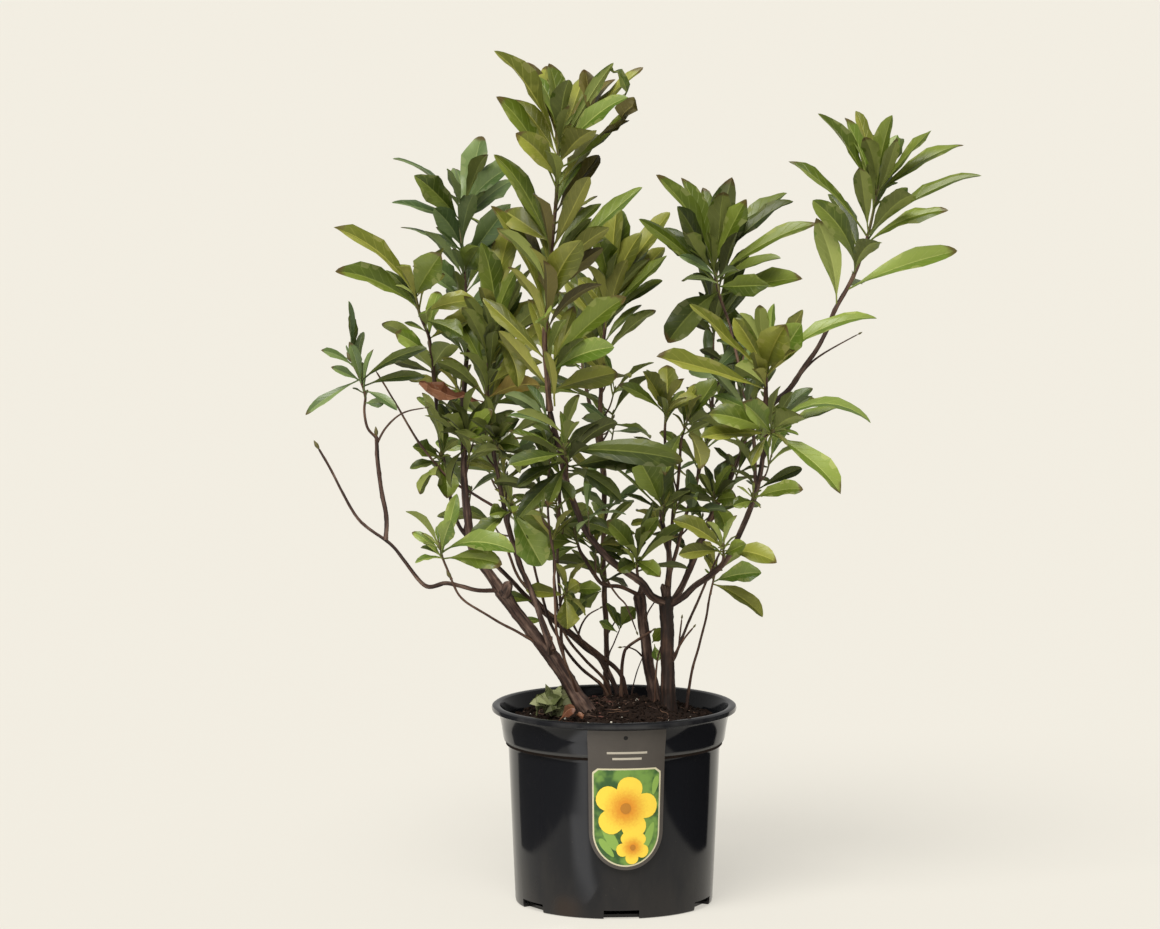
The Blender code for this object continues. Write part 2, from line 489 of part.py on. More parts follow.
def label_radius(height):
    """Distance from the pot's axis: against the collar, then nearly straight down."""
    collar_top = POT_HEIGHT - LIP_DEPTH
    if height > COLLAR_FOOT_HEIGHT:
        share = (height - COLLAR_FOOT_HEIGHT) / (collar_top - COLLAR_FOOT_HEIGHT)
        return COLLAR_FOOT_RADIUS + (COLLAR_TOP_RADIUS - COLLAR_FOOT_RADIUS) * share + GAP
    fall = COLLAR_FOOT_HEIGHT - height
    return COLLAR_FOOT_RADIUS + GAP - fall * 0.055


def make_label():
    """A curved strip with a half-round lower end."""
    half = LABEL_WIDTH / 2
    straight = LABEL_LENGTH - half
    rows = [0, 12, LABEL_TOP - COLLAR_FOOT_HEIGHT, straight * 0.6, straight]
    round_rows = LABEL_ROWS - len(rows)
    rows += [straight + half * math.sin(math.radians(82) * (i + 1) / round_rows)
             for i in range(round_rows)]
    bm = bmesh.new()
    grid = []
    for fall in rows:
        below = max(0.0, fall - straight)
        width = math.sqrt(max(half * half - below * below, 1.0))
        row = []
        for i in range(LABEL_COLUMNS + 1):
            side = width * (2 * i / LABEL_COLUMNS - 1)
            height = LABEL_TOP - fall
            radius = label_radius(height)
            angle = math.radians(LABEL_TURN) + side / COLLAR_FOOT_RADIUS
            row.append(bm.verts.new(Vector((radius * math.sin(angle),
                                            -radius * math.cos(angle), height)) * MM))
        grid.append(row)
    for upper, lower in zip(grid, grid[1:]):
        for i in range(LABEL_COLUMNS):
            bm.faces.new((upper[i], lower[i], lower[i + 1], upper[i + 1]))
    mesh = bpy.data.meshes.new("label")
    bm.to_mesh(mesh)
    label = add_object("label", mesh, finish("label_card"))
    wall = label.modifiers.new("wall", 'SOLIDIFY')
    wall.thickness = LABEL_THICKNESS * MM
    wall.offset = 1
    return applied(label)


# Limbs
FLARE = 1.3                    # how much wider a trunk is where it leaves the soil
FLARE_HEIGHT = 14.0
PER_SPAN = 1                   # sections between two path points


def smooth_path(points, per_span=PER_SPAN):
    """Points of a Catmull-Rom curve through the given points."""
    ends = [2 * points[0] - points[1], *points, 2 * points[-1] - points[-2]]
    path = []
    for a, b, c, d in zip(ends, ends[1:], ends[2:], ends[3:]):
        for i in range(per_span):
            t = i / per_span
            path.append(0.5 * (2 * b + (c - a) * t + (2 * a - 5 * b + 4 * c - d) * t * t
                               + (3 * b - a - 3 * c + d) * t ** 3))
    path.append(points[-1].copy())
    return path


def shares(path):
    """How far along the path each of its points is, from 0 to 1."""
    run = [0.0]
    for a, b in zip(path, path[1:]):
        run.append(run[-1] + (b - a).length)
    return [r / run[-1] for r in run]


def at_share(path, share):
    """The point and direction at a share of the path's length."""
    marks = shares(path)
    for i in range(len(path) - 1):
        if marks[i + 1] >= share:
            t = (share - marks[i]) / (marks[i + 1] - marks[i])
            return path[i].lerp(path[i + 1], t), (path[i + 1] - path[i]).normalized()
    return path[-1].copy(), (path[-1] - path[-2]).normalized()


def loft(rings, tip=None):
    """Vertices and faces of a skin over rings of three points, closed at both ends."""
    verts = [p for ring in rings for p in ring]
    sides = len(rings[0])
    faces = [tuple(range(sides))[::-1]]
    for i in range(len(rings) - 1):
        for j in range(sides):
            k = (j + 1) % sides
            a, b = i * sides, (i + 1) * sides
            faces.append((a + j, a + k, b + k, b + j))
    last = (len(rings) - 1) * sides
    if tip is None:
        faces.append(tuple(range(last, last + sides)))
    else:
        verts.append(tip)
        for j in range(sides):
            faces.append((last + j, last + (j + 1) % sides, len(verts) - 1))
    return verts, faces


def tree_of(mesh):
    """A search tree of a mesh, in millimetres."""
    verts = [v.co / MM for v in mesh.vertices]
    return BVHTree.FromPolygons(verts, [p.vertices[:] for p in mesh.polygons])


class Placed:
    """What already stands in the shrub, to keep new pieces clear of it."""

    def __init__(self):
        self.pieces = []

    def add(self, owner, verts, faces):
        low = [min(v[i] for v in verts) for i in range(3)]
        high = [max(v[i] for v in verts) for i in range(3)]
        self.pieces.append((owner, low, high, BVHTree.FromPolygons(verts, faces)))

    def touches(self, owner, verts, faces):
        low = [min(v[i] for v in verts) for i in range(3)]
        high = [max(v[i] for v in verts) for i in range(3)]
        tree = BVHTree.FromPolygons(verts, faces)
        for other, lower, upper, standing in self.pieces:
            if other == owner or any(low[i] > upper[i] or high[i] < lower[i]
                                     for i in range(3)):
                continue
            if tree.overlap(standing):
                return True
        return False


placed = Placed()
blades = Placed()
limb_paths = {}
limb_trees = {}


def seated(carrier, point, radius):
    """Where a limb or twig leaves its carrier: the foot and the way out of the bark."""
    path = limb_paths[carrier]
    if (path[-1] - point).length < 6:
        ahead = (path[-1] - path[-2]).normalized()
        return path[-1] + ahead * GAP, ahead
    near, ahead = min((at_share(path, i / 200) for i in range(1, 200)),
                      key=lambda here: (here[0] - point).length)
    way = point - near
    way = (way - ahead * way.dot(ahead)).normalized()
    foot = limb_trees[carrier].ray_cast(near + way * 30, -way)[0] + way * GAP
    side = ahead.cross(way)
    disc = [(ahead * math.cos(i * math.pi / 4) + side * math.sin(i * math.pi / 4)) * radius
            for i in range(8)]
    while limb_trees[carrier].overlap(BVHTree.FromPolygons(*loft(
            [[foot + way * rise + d for d in disc] for rise in (-0.1, 1)]))):
        foot += way * 0.1
    return foot, way


def make_limb(name):
    """One tapering limb, cut flat at the soil or seated on its carrier."""
    carrier, foot_radius, tip_radius, given = LIMBS[name]
    points = [Vector(p) for p in given]
    if carrier is None:
        seat = seat_height(points[0].x, points[0].y, pocket_radius(foot_radius)) + GAP
        points[0].z = seat
        points[0] -= (points[1] - points[0]).normalized() * 6
    else:
        foot, way = seated(carrier, points[0], foot_radius)
        points = [p for p in points[1:] if (p - foot).length > 2.5 * foot_radius]
        points = [foot, foot + way * foot_radius * 1.2] + points
    path = smooth_path(points)
    marks = shares(path)
    curve = bpy.data.curves.new(name, 'CURVE')
    curve.dimensions = '3D'
    curve.bevel_depth = MM
    curve.bevel_resolution = 2 if foot_radius > 5 else 1
    curve.use_fill_caps = True
    line = curve.splines.new('POLY')
    line.points.add(len(path) - 1)
    for mark, here, point in zip(marks, path, line.points):
        radius = foot_radius + (tip_radius - foot_radius) * mark
        if carrier is None:
            rise = max(here.z - seat, 0)
            radius *= 1 + (FLARE - 1) * math.exp(-rise / FLARE_HEIGHT)
        point.co = (*(here * MM), 1)
        point.radius = radius
    tube = bpy.data.objects.new(name, curve)
    parts.objects.link(tube)
    bpy.context.view_layer.update()
    mesh = bpy.data.meshes.new_from_object(
        tube.evaluated_get(bpy.context.evaluated_depsgraph_get()))
    bpy.data.objects.remove(tube)
    bm = bmesh.new()
    bm.from_mesh(mesh)
    bmesh.ops.remove_doubles(bm, verts=bm.verts, dist=1e-6)
    if carrier is None:
        bmesh.ops.bisect_plane(bm, geom=bm.verts[:] + bm.edges[:] + bm.faces[:],
                               plane_co=(0, 0, seat * MM), plane_no=(0, 0, 1),
                               clear_inner=True)
        bmesh.ops.remove_doubles(bm, verts=bm.verts, dist=2e-5)
        rim = [e for e in bm.edges if e.is_boundary]
        bmesh.ops.holes_fill(bm, edges=rim, sides=0)
    bmesh.ops.recalc_face_normals(bm, faces=bm.faces)
    bm.to_mesh(mesh)
    bm.free()
    mesh.shade_smooth()
    mesh.set_sharp_from_angle(angle=math.radians(50))
    add_object(name, mesh, finish("bark"))
    limb_paths[name] = path
    limb_trees[name] = tree_of(mesh)
    placed.add(name, [v.co / MM for v in mesh.vertices],
               [p.vertices[:] for p in mesh.polygons])


# Foliage
LEAF_ROWS = (0.0, 0.26, 0.7)           # sections of a leaf along its rib
SMALL_LEAF = 60.0                      # a shorter leaf has one section fewer
SMALL_ROWS = (0.0, 0.56)
BLADE_ROWS = (0.22, 0.66)              # sections of the part that stays off other blades
PETIOLE = 0.7                          # half the thickness of a leaf's stalk
ROOT = 0.4                             # the same where it is sunk in the twig
FOLD = 0.05                            # how far a leaf's edges rise, by half its width
KEEL = 0.012                           # depth of the rib, by the leaf's length
MARGIN = 0.5                           # air kept round a leaf or twig
GOLDEN = math.radians(137.5)
SHIFTS = (0, 8, -8, 16, -16, 24, -24, 34, -34, 44, -44)


def leaf_frame(foot, reach, face):
    """The leaf's length, its direction and the direction that its upper side faces."""
    length = reach.length
    chord = reach / length
    front = Vector((0, -1, 0))
    ahead = front - chord * front.dot(chord)
    if ahead.length < 0.05:
        ahead = Vector((0, 0, 1)) - chord * chord.z
    ahead.normalize()
    across = chord.cross(ahead)
    if across.z < 0:
        across.negate()
    turn = math.radians(face)
    return length, chord, ahead * math.sin(turn) + across * math.cos(turn)


def rib_point(foot, length, chord, upper, bend, t):
    """A point on the leaf's rib, an arc that bulges to its upper side, and its direction."""
    turn = math.radians(bend) if abs(bend) > 1 else math.radians(1)
    a = turn * (t - 0.5)
    size = length / (2 * math.sin(turn / 2))
    point = foot + chord * size * (math.sin(a) + math.sin(turn / 2))
    point += upper * size * (math.cos(a) - math.cos(turn / 2))
    return point, chord * math.cos(a) - upper * math.sin(a)


def leaf_width(t):
    """Share of the full width at t along the leaf: widest past the middle."""
    if t <= 0.12:
        return 0.0
    return math.sin(math.pi * ((t - 0.12) / 0.88) ** 1.25) ** 0.85


def leaf_skin(foot, reach, width, face, bend, margin=0.0, rows=None):
    """A folded leaf, three-cornered in section: two edges and the rib below."""
    length, chord, upper = leaf_frame(foot, reach, face)
    rows = rows or (LEAF_ROWS if length > SMALL_LEAF else SMALL_ROWS)
    rings = []
    for t in rows:
        centre, ahead = rib_point(foot, length, chord, upper, bend, t)
        side = ahead.cross(upper).normalized()
        above = side.cross(ahead)
        half = max(width / 2 * leaf_width(t), PETIOLE if t else ROOT) + margin
        lift = half * FOLD + margin if t else ROOT * 0.6 + margin
        keel = (KEEL * length if t else ROOT) + margin
        rings.append([centre + side * half + above * lift,
                      centre - side * half + above * lift, centre - above * keel])
    tip, _ = rib_point(foot, length, chord, upper, bend, 1 + margin / length)
    return loft(rings, tip)


def twig_skin(path, foot_radius, tip_radius, margin=0.0):
    """A three-sided tapering twig."""
    marks = shares(path)
    rings = []
    for i, here in enumerate(path):
        ahead = (path[min(i + 1, len(path) - 1)] - path[max(i - 1, 0)]).normalized()
        side = ahead.cross(Vector((0.31, 0.95, 0.05))).normalized()
        above = side.cross(ahead)
        radius = foot_radius + (tip_radius - foot_radius) * marks[i] + margin
        rings.append([here + (side * math.cos(a) + above * math.sin(a)) * radius
                      for a in (math.radians(90), math.radians(210), math.radians(330))])
    return loft(rings)


def place_leaf(mass, foot, reach, width, face, bend, shifts=SHIFTS):
    """Tries a leaf where it is asked for, then nearer or further; None if all touch."""
    for size in (1.0, 0.85):
        for shift in shifts:
            moved = Vector((reach.x, reach.y - shift, reach.z)) * size
            leaf = (foot, moved, width * size, face, bend)
            if placed.touches(mass, *leaf_skin(*leaf, MARGIN)):
                continue
            if not blades.touches("", *leaf_skin(*leaf, MARGIN, BLADE_ROWS)):
                placed.add(mass, *leaf_skin(*leaf))
                blades.add(mass, *leaf_skin(*leaf, 0, BLADE_ROWS))
                return leaf
    return None


def make_stem(mass):
    """The path of a mass's stem, seated on its carrier."""
    carrier, foot_radius, tip_radius, given = MASSES[mass][:4]
    points = [Vector(p) for p in given]
    foot, way = seated(carrier, points[0], foot_radius)
    points = [foot + way * 3.0] + [p for p in points[1:] if (p - foot).length > 5]
    path = [foot] + smooth_path(points, 1 if len(points) > 3 else 2)
    placed.add(mass, *twig_skin(path, foot_radius, tip_radius, MARGIN))
    return path


def fill_leaves(mass, path, rng):
    """Leaves by rule round the stem, mostly to the front and back, closer at its tip."""
    count, length, spread = MASSES[mass][5]
    leaves = []
    turn = rng.uniform(0, math.tau)
    for i in range(count):
        rise = 1 - (1 - 0.18) * (i / count) ** 1.3
        foot, ahead = at_share(path, rise)
        size = length * rng.uniform(0.75, 1.1)
        for attempt in range(8):
            turn += GOLDEN if attempt == 0 else math.radians(47)
            lean = math.radians(38 + 42 * (1 - rise) + rng.uniform(-8, 12))
            side = ahead.cross(Vector((0, 1, 0.2))).normalized()
            out = side * math.cos(turn) + ahead.cross(side) * math.sin(turn)
            reach = ahead * math.cos(lean) + out * math.sin(lean) + Vector((0, 0, 0.12))
            reach.x *= spread
            reach = reach.normalized() * size
            face = rng.uniform(35, 85) * (-1 if reach.y < 0 else 1)
            leaf = place_leaf(mass, foot, reach, size * rng.uniform(0.3, 0.38), face,
                              rng.uniform(10, 45), (0,))
            if leaf:
                leaves.append(leaf)
                break
    return leaves


def skin_mesh(name, verts, faces):
    mesh = bpy.data.meshes.new(name)
    bm = bmesh.new()
    points = [bm.verts.new(v * MM) for v in verts]
    for face in faces:
        bm.faces.new([points[i] for i in face])
    bmesh.ops.recalc_face_normals(bm, faces=bm.faces)
    bmesh.ops.triangulate(bm, faces=bm.faces)
    bm.to_mesh(mesh)
    bm.free()
    return mesh


def largest_body(mesh):
    """Keeps the biggest connected body, so loose scraps and sealed hollows go."""
    bm = bmesh.new()
    bm.from_mesh(mesh)
    left = set(bm.verts)
    bodies = []
    while left:
        seen = {left.pop()}
        edge = list(seen)
        while edge:
            vert = edge.pop()
            for link in vert.link_edges:
                other = link.other_vert(vert)
                if other not in seen:
                    seen.add(other)
                    edge.append(other)
        left -= seen
        bodies.append(seen)
    biggest = max(bodies, key=len)
    scraps = [v for body in bodies if body is not biggest for v in body]
    bmesh.ops.delete(bm, geom=scraps, context='VERTS')
    bmesh.ops.triangulate(bm, faces=bm.faces)
    bm.to_mesh(mesh)
    bm.free()


def fuse_mass(mass, path, leaves, tint):
    """Joins a mass's twig and leaves into one solid."""
    _, foot_radius, tip_radius = MASSES[mass][:3]
    green = finish("leaf", tint)
    thing = add_object(mass, skin_mesh(mass, *twig_skin(path, foot_radius, tip_radius)),
                       green)
    sprays = bpy.data.collections.new("sprays")
    bpy.context.scene.collection.children.link(sprays)
    for i, leaf in enumerate(leaves):
        add_object(f"{mass}_leaf_{i}", skin_mesh("leaf", *leaf_skin(*leaf)), green, sprays)
    join = thing.modifiers.new("join", 'BOOLEAN')
    join.operation = 'UNION'
    join.operand_type = 'COLLECTION'
    join.collection = sprays
    join.solver = 'MANIFOLD'
    bpy.context.view_layer.update()
    applied(thing)
    for leaf in list(sprays.objects):
        bpy.data.objects.remove(leaf)
    bpy.data.collections.remove(sprays)
    largest_body(thing.data)
    return thing


def make_foliage():
    rng = random.Random(SEED)
    stems = {mass: make_stem(mass) for mass in MASSES}
    leaves = {mass: [] for mass in MASSES}
    for mass, (_, _, _, _, own, _) in MASSES.items():
        for rise, side, up, front, width, face, bend in own:
            foot, _ = at_share(stems[mass], rise)
            leaf = place_leaf(mass, foot, Vector((side, -front, up)), width, face, bend)
            if leaf:
                leaves[mass].append(leaf)
            else:
                print("left out", mass, rise, side, up)
    for mass in MASSES:
        leaves[mass] += fill_leaves(mass, stems[mass], rng)
    for mass in MASSES:
        fuse_mass(mass, stems[mass], leaves[mass], rng.uniform(0.7, 1.3))
    print("leaves:", sum(len(own) for own in leaves.values()))


start_scene()
make_pot()
make_soil()
make_label()
for limb in LIMBS:
    make_limb(limb)
make_foliage()
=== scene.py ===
# %% [markdown]
# # An azalea in its nursery pot
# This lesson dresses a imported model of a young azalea: a leggy shrub with bare stems below
# and whorls of leaves at the tips of its shoots, in a black nursery pot with a hanging label.
# The frame comes first. It holds every stem, every mass of leaves, the pot, the soil and the
# label at their real size, and everything below is fitted to it. Lengths are in millimetres
# in this file, as a grower would measure them, and MM turns them into Blender's metres.

# %% Load the frame
import math
import random

import bpy
from mathutils import Matrix, Vector, noise
from mathutils.bvhtree import BVHTree


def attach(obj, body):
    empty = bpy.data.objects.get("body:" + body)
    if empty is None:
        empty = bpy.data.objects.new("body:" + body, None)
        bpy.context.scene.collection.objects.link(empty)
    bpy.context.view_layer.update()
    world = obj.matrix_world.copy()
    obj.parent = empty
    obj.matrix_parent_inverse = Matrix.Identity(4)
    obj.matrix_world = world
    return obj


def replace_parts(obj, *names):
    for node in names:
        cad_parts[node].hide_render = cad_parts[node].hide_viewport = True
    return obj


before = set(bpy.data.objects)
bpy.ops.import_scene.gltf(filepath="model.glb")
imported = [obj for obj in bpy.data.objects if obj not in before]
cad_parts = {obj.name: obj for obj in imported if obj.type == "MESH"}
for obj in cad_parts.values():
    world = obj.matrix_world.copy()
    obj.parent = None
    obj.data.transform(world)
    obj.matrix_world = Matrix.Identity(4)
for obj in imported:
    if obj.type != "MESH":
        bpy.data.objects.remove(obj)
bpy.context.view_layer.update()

MM = 0.001
scene = bpy.context.scene
noise.seed_set(7)              # or noise_vector would differ from run to run

# %% [markdown]
# ## Camera, floor and light
# A product picture is taken from a few steps back with a long lens, a little above the plant,
# so the camera looks down by seven degrees. The pale floor reaches far behind the plant and
# fills the whole view. One broad sun from the upper left gives soft shade, and a cream sky
# fills it. A sun lights the floor evenly from front to back, which a nearby lamp can't.

# %% Camera, floor and light
LENS = 161.4
CAMERA_PLACE = (-0.032, -4.823, 0.994)
CAMERA_DIP = 6.87              # degrees that the camera looks down


def pick(piece=None):
    """Leaves Edit Mode and selects one piece or none, so an operator acts on it only."""
    if bpy.context.object and bpy.context.object.mode != 'OBJECT':
        bpy.ops.object.mode_set(mode='OBJECT')
    bpy.ops.object.select_all(action='DESELECT')
    if piece:
        bpy.context.view_layer.objects.active = piece
        piece.select_set(True)


pick()
bpy.ops.object.camera_add(location=CAMERA_PLACE,
                          rotation=(math.radians(90 - CAMERA_DIP), 0, 0))
camera = bpy.context.object
camera.data.sensor_width = 36
camera.data.lens = LENS
camera.data.clip_end = 200
scene.camera = camera
scene.view_settings.view_transform = 'Standard'

bpy.ops.object.light_add(type='SUN', rotation=[math.radians(a) for a in (32, -15, 0)])
sun = bpy.context.object
sun.name = "broad_sun"
sun.data.energy = 3.5
sun.data.angle = math.radians(38)
sun.data.color = (1.0, 0.97, 0.92)

world = bpy.data.worlds.new("cream_sky")
scene.world = world
world.use_nodes = True
sky = world.node_tree.nodes["Background"]
sky.inputs["Color"].default_value = (1.0, 0.98, 0.94, 1)
sky.inputs["Strength"].default_value = 0.4

bpy.ops.mesh.primitive_plane_add(size=160, location=(0, 0, -0.0004))
floor = bpy.context.object
floor.name = "floor"
print("camera", tuple(camera.location), "lens", LENS)

# %% [markdown]
# Glossy black plastic shows its surroundings more than its own colour. Product photographers
# stand black cards, called flags, on both sides of such a pot, so that its flanks go dark
# between bright edges. The two flags here are seen by reflections only. They are hidden from
# the camera and throw no shadow, so they can stand close by, and they end below the leaves.
# A white card on the floor, seen in the same way, lights the front left of the pot.

# %% Black flags and a white card
FLAG_SIDE = 0.22
FLAG_DEPTH = (-0.46, 0.085)
FLAG_RISE = (0.017, 0.24)
CARD_PLACE = (-0.29, -0.36, 0.003)


def stand(name, place, turn, size):
    """A plane that nothing but reflections shows."""
    pick()
    bpy.ops.mesh.primitive_plane_add(size=1, location=place, rotation=(0, turn, 0))
    plane = bpy.context.object
    plane.name = name
    plane.scale = (*size, 1)
    bpy.ops.object.transform_apply(location=True, rotation=True, scale=True)
    for kind in ("camera", "diffuse", "shadow", "transmission"):
        setattr(plane, "visible_" + kind, False)
    return plane


flags = [stand(name, (side * FLAG_SIDE, sum(FLAG_DEPTH) / 2, sum(FLAG_RISE) / 2),
               math.radians(90), (FLAG_RISE[1] - FLAG_RISE[0], FLAG_DEPTH[1] - FLAG_DEPTH[0]))
         for name, side in (("flag_left", -1), ("flag_right", 1))]
white_card = stand("white_card", CARD_PLACE, 0, (0.5, 0.5))

# %% [markdown]
# ## Writing materials as sums
# Every finish here is a Principled shader with a few patterns that feed its colour and its
# roughness. Wiring Math nodes by hand is long, so a small class wraps an output socket and
# lets Python's own + - * / add the nodes. Colours are mixed by a Mix node, because a Math
# node would turn a colour grey, and they are written as a paint chip's code, such as 6f9a45.

# %% Material helpers
class Signal:
    """A node's output, which Python's own arithmetic turns into Math nodes."""

    def __init__(self, tree, socket):
        self.tree, self.socket = tree, socket

    def math(self, operation, *others):
        node = self.tree.nodes.new("ShaderNodeMath")
        node.operation = operation
        for value, slot in zip((self, *others), node.inputs):
            plug(self.tree, value, slot)
        return Signal(self.tree, node.outputs[0])

    def __add__(self, other):
        return self.math('ADD', other)

    def __sub__(self, other):
        return self.math('SUBTRACT', other)

    def __mul__(self, other):
        return self.math('MULTIPLY', other)

    def __truediv__(self, other):
        return self.math('DIVIDE', other)

    def __rsub__(self, other):
        return self * -1 + other

    __radd__, __rmul__ = __add__, __mul__


def paint(code):
    """A paint chip's code as the linear colour that a shader takes."""
    parts = [int(code[i:i + 2], 16) / 255 for i in (0, 2, 4)]
    return tuple(c / 12.92 if c < 0.04045 else ((c + 0.055) / 1.055) ** 2.4 for c in parts)


def plug(tree, value, slot):
    """Links a signal to a socket, or writes a plain value or a paint's colour on it."""
    if isinstance(value, Signal):
        tree.links.new(value.socket, slot)
    elif slot.type == 'RGBA':
        slot.default_value = (*(paint(value) if isinstance(value, str) else value), 1)
    else:
        slot.default_value = value


class Finish:
    """A material: its Principled shader, and a short way to add the nodes that feed it."""

    def __init__(self, name, colour, roughness, **plain):
        self.material = bpy.data.materials.new(name)
        self.material.use_nodes = True
        self.tree = self.material.node_tree
        self.shader = self.tree.nodes["Principled BSDF"]
        self.set("Base Color", colour)
        self.set("Roughness", roughness)
        for socket, value in plain.items():
            self.set(socket.replace("_", " "), value)

    def set(self, socket, value):
        plug(self.tree, value, self.shader.inputs[socket])

    def node(self, kind, inputs, output=0, **settings):
        node = self.tree.nodes.new("ShaderNode" + kind)
        for key, value in settings.items():
            setattr(node, key, value)
        for key, value in inputs.items():
            plug(self.tree, value, node.inputs[key])
        return Signal(self.tree, node.outputs[output])

    def place(self):
        """Where a point of the piece is, in metres."""
        return self.node("TexCoord", {}, output=3)

    def attribute(self, name):
        """A vector that the piece's mesh carries."""
        return self.node("Attribute", {}, output=1, attribute_name=name)

    def parts(self, vector):
        """A vector's three numbers."""
        return [self.node("SeparateXYZ", {"Vector": vector}, output=i) for i in range(3)]

    def distance(self, place, point=(0, 0, 0)):
        return self.node("VectorMath", {0: place, 1: point}, output=1, operation='DISTANCE')

    def noise(self, vector, scale, detail=3.0):
        return self.node("TexNoise", {"Vector": vector, "Scale": scale, "Detail": detail,
                                      "Roughness": 0.55})

    def stretched(self, vector, x, y, z):
        return self.node("Mapping", {"Vector": vector, "Scale": (x, y, z)})

    def mask(self, signal, low, high):
        """0 below low and 1 above high, with a soft step between."""
        return self.node("MapRange", {"Value": signal, "From Min": low, "From Max": high},
                         interpolation_type='SMOOTHSTEP')

    def mix(self, factor, first, second):
        """Blends two colours."""
        return self.node("Mix", {0: factor, 6: first, 7: second}, output=2, data_type='RGBA')

    def bump(self, height, distance, strength=1.0):
        self.set("Normal", self.node("Bump", {"Height": height, "Distance": distance,
                                              "Strength": strength}))


# %% [markdown]
# The floor glows a little, as a light table does, so that the pot's shadow stays faint. The
# flags' lower edges rise towards the front up to a top, which falls again, and all cloth and
# card thins out at its edges.

# %% Floor, flags and card
ground = Finish("pale_floor", "8f8e89", 0.95, Specular_IOR_Level=0.1,
                Emission_Color="c0bcb3", Emission_Strength=1.0)
ground.set("Base Color", ground.mix(ground.noise(ground.place(), 40) * 0.04,
                                    "8f8e89", "86847f"))
floor.data.materials.append(ground.material)
FLAG_CLOTHS = ((0.23, 0.015, 0.14, 0.067), (0.004, 0.013, 0.19, 0.13))
for flag, (shade, foot, rise, top) in zip(flags, FLAG_CLOTHS):
    cloth = Finish(flag.name + "_cloth", (shade, shade, shade), 1.0, Specular_IOR_Level=0.0)
    _, depth, height = cloth.parts(cloth.place())
    edge = height - (foot - depth * rise).math('MINIMUM', top + depth * 0.14)
    cloth.set("Alpha", cloth.mask(edge, -0.004, 0.006)
              * cloth.mask(height, FLAG_RISE[1], FLAG_RISE[1] - 0.04)
              * cloth.mask(depth, FLAG_DEPTH[1], FLAG_DEPTH[1] - 0.01)
              * cloth.mask(depth, FLAG_DEPTH[0], FLAG_DEPTH[0] + 0.04))
    flag.data.materials.append(cloth.material)
card = Finish("white_card_face", (0.8, 0.8, 0.8), 1.0, Emission_Strength=1.4)
side, depth, _ = card.parts(card.place())
card.set("Alpha", card.mask(depth * 0.65 - side, -0.08, -0.04)
         * card.mask(side - depth * 1.4, 0.08, 0.17))
white_card.data.materials.append(card.material)
print("staged:", floor.name, *(flag.name for flag in flags), white_card.name)

# %% [markdown]
# ## The pot
# The pot is blown or moulded in one thin black plastic. Its body widens a little upwards,
# steps out to a collar and ends in a rolled lip. It is made as a potter would pull it: a disc
# is added at the foot, and its rim is extruded and scaled from one height to the next, up the
# outside, over the lip and down the inside. Six drain notches are cut at the foot with
# Booleans, because cutting keeps their corners crisp.

# %% Pot
POT_RINGS = (                  # radius and height, up the outside and down the inside
    (92.4, 0.6), (92.9, 3), (95.0, 50), (97.2, 100), (99.2, 147), (99.9, 150.5),
    (101.4, 152.2), (103.2, 153.6), (104.1, 156), (105.6, 167), (107.9, 178.5),
    (109.4, 180.2), (112.6, 180.4), (114.6, 181.8), (115.0, 183.8), (114.4, 185.8),
    (112.6, 186.9), (109.6, 187), (107.4, 186.2), (106.0, 184), (102.3, 158),
    (97.5, 152.5), (95.5, 130), (90.9, 4), (89.6, 3))
POT_FOOT = 91.6
NOTCH_COUNT = 6
NOTCH_SIZE = (33, 16, 16)
NOTCH_REACH = 92 * MM          # how far the notches' middles are from the pot's axis
NOTCH_TURN = 4                 # degrees that the front notch stands to the right


def settle(piece):
    """Moves a piece's place, turn and scale into its mesh."""
    pick(piece)
    bpy.ops.object.transform_apply(location=True, rotation=True, scale=True)


def apply_modifiers(piece):
    pick(piece)
    for modifier in list(piece.modifiers):
        bpy.ops.object.modifier_apply(modifier=modifier.name)


def edit(piece):
    """Opens a piece in Edit Mode with all of it selected."""
    pick(piece)
    bpy.ops.object.mode_set(mode='EDIT')
    bpy.ops.mesh.select_all(action='SELECT')


def round_off(piece, degrees):
    """Turns a piece's faces outward and shades its bends below an angle smoothly."""
    edit(piece)
    bpy.ops.mesh.normals_make_consistent(inside=False)
    pick(piece)
    bpy.ops.object.shade_smooth_by_angle(angle=math.radians(degrees))


pick()
bpy.ops.mesh.primitive_circle_add(vertices=120, radius=POT_FOOT * MM, fill_type='NGON')
pot = bpy.context.object
pot.name = "pot_shell"
edit(pot)
last_radius, last_height = POT_FOOT, 0
for radius, height in POT_RINGS:
    bpy.ops.mesh.extrude_region_move(
        TRANSFORM_OT_translate={"value": (0, 0, (height - last_height) * MM)})
    grow = radius / last_radius
    bpy.ops.transform.resize(value=(grow, grow, 1), center_override=(0, 0, height * MM))
    last_radius, last_height = radius, height
edit(pot)
bpy.ops.mesh.normals_make_consistent(inside=False)
for i in range(NOTCH_COUNT):
    turn = math.radians(NOTCH_TURN + 360 / NOTCH_COUNT * i)
    pick()
    bpy.ops.mesh.primitive_cube_add(
        size=1, location=(NOTCH_REACH * math.sin(turn), -NOTCH_REACH * math.cos(turn), 0),
        rotation=(0, 0, turn), scale=[s * MM for s in NOTCH_SIZE])
    notch = bpy.context.object
    settle(notch)
    cut = pot.modifiers.new("notch", 'BOOLEAN')
    cut.operation = 'DIFFERENCE'
    cut.object = notch
    cut.solver = 'EXACT'
    apply_modifiers(pot)
    bpy.data.objects.remove(notch)
pick(pot)
bpy.ops.object.shade_smooth_by_angle(angle=math.radians(32))
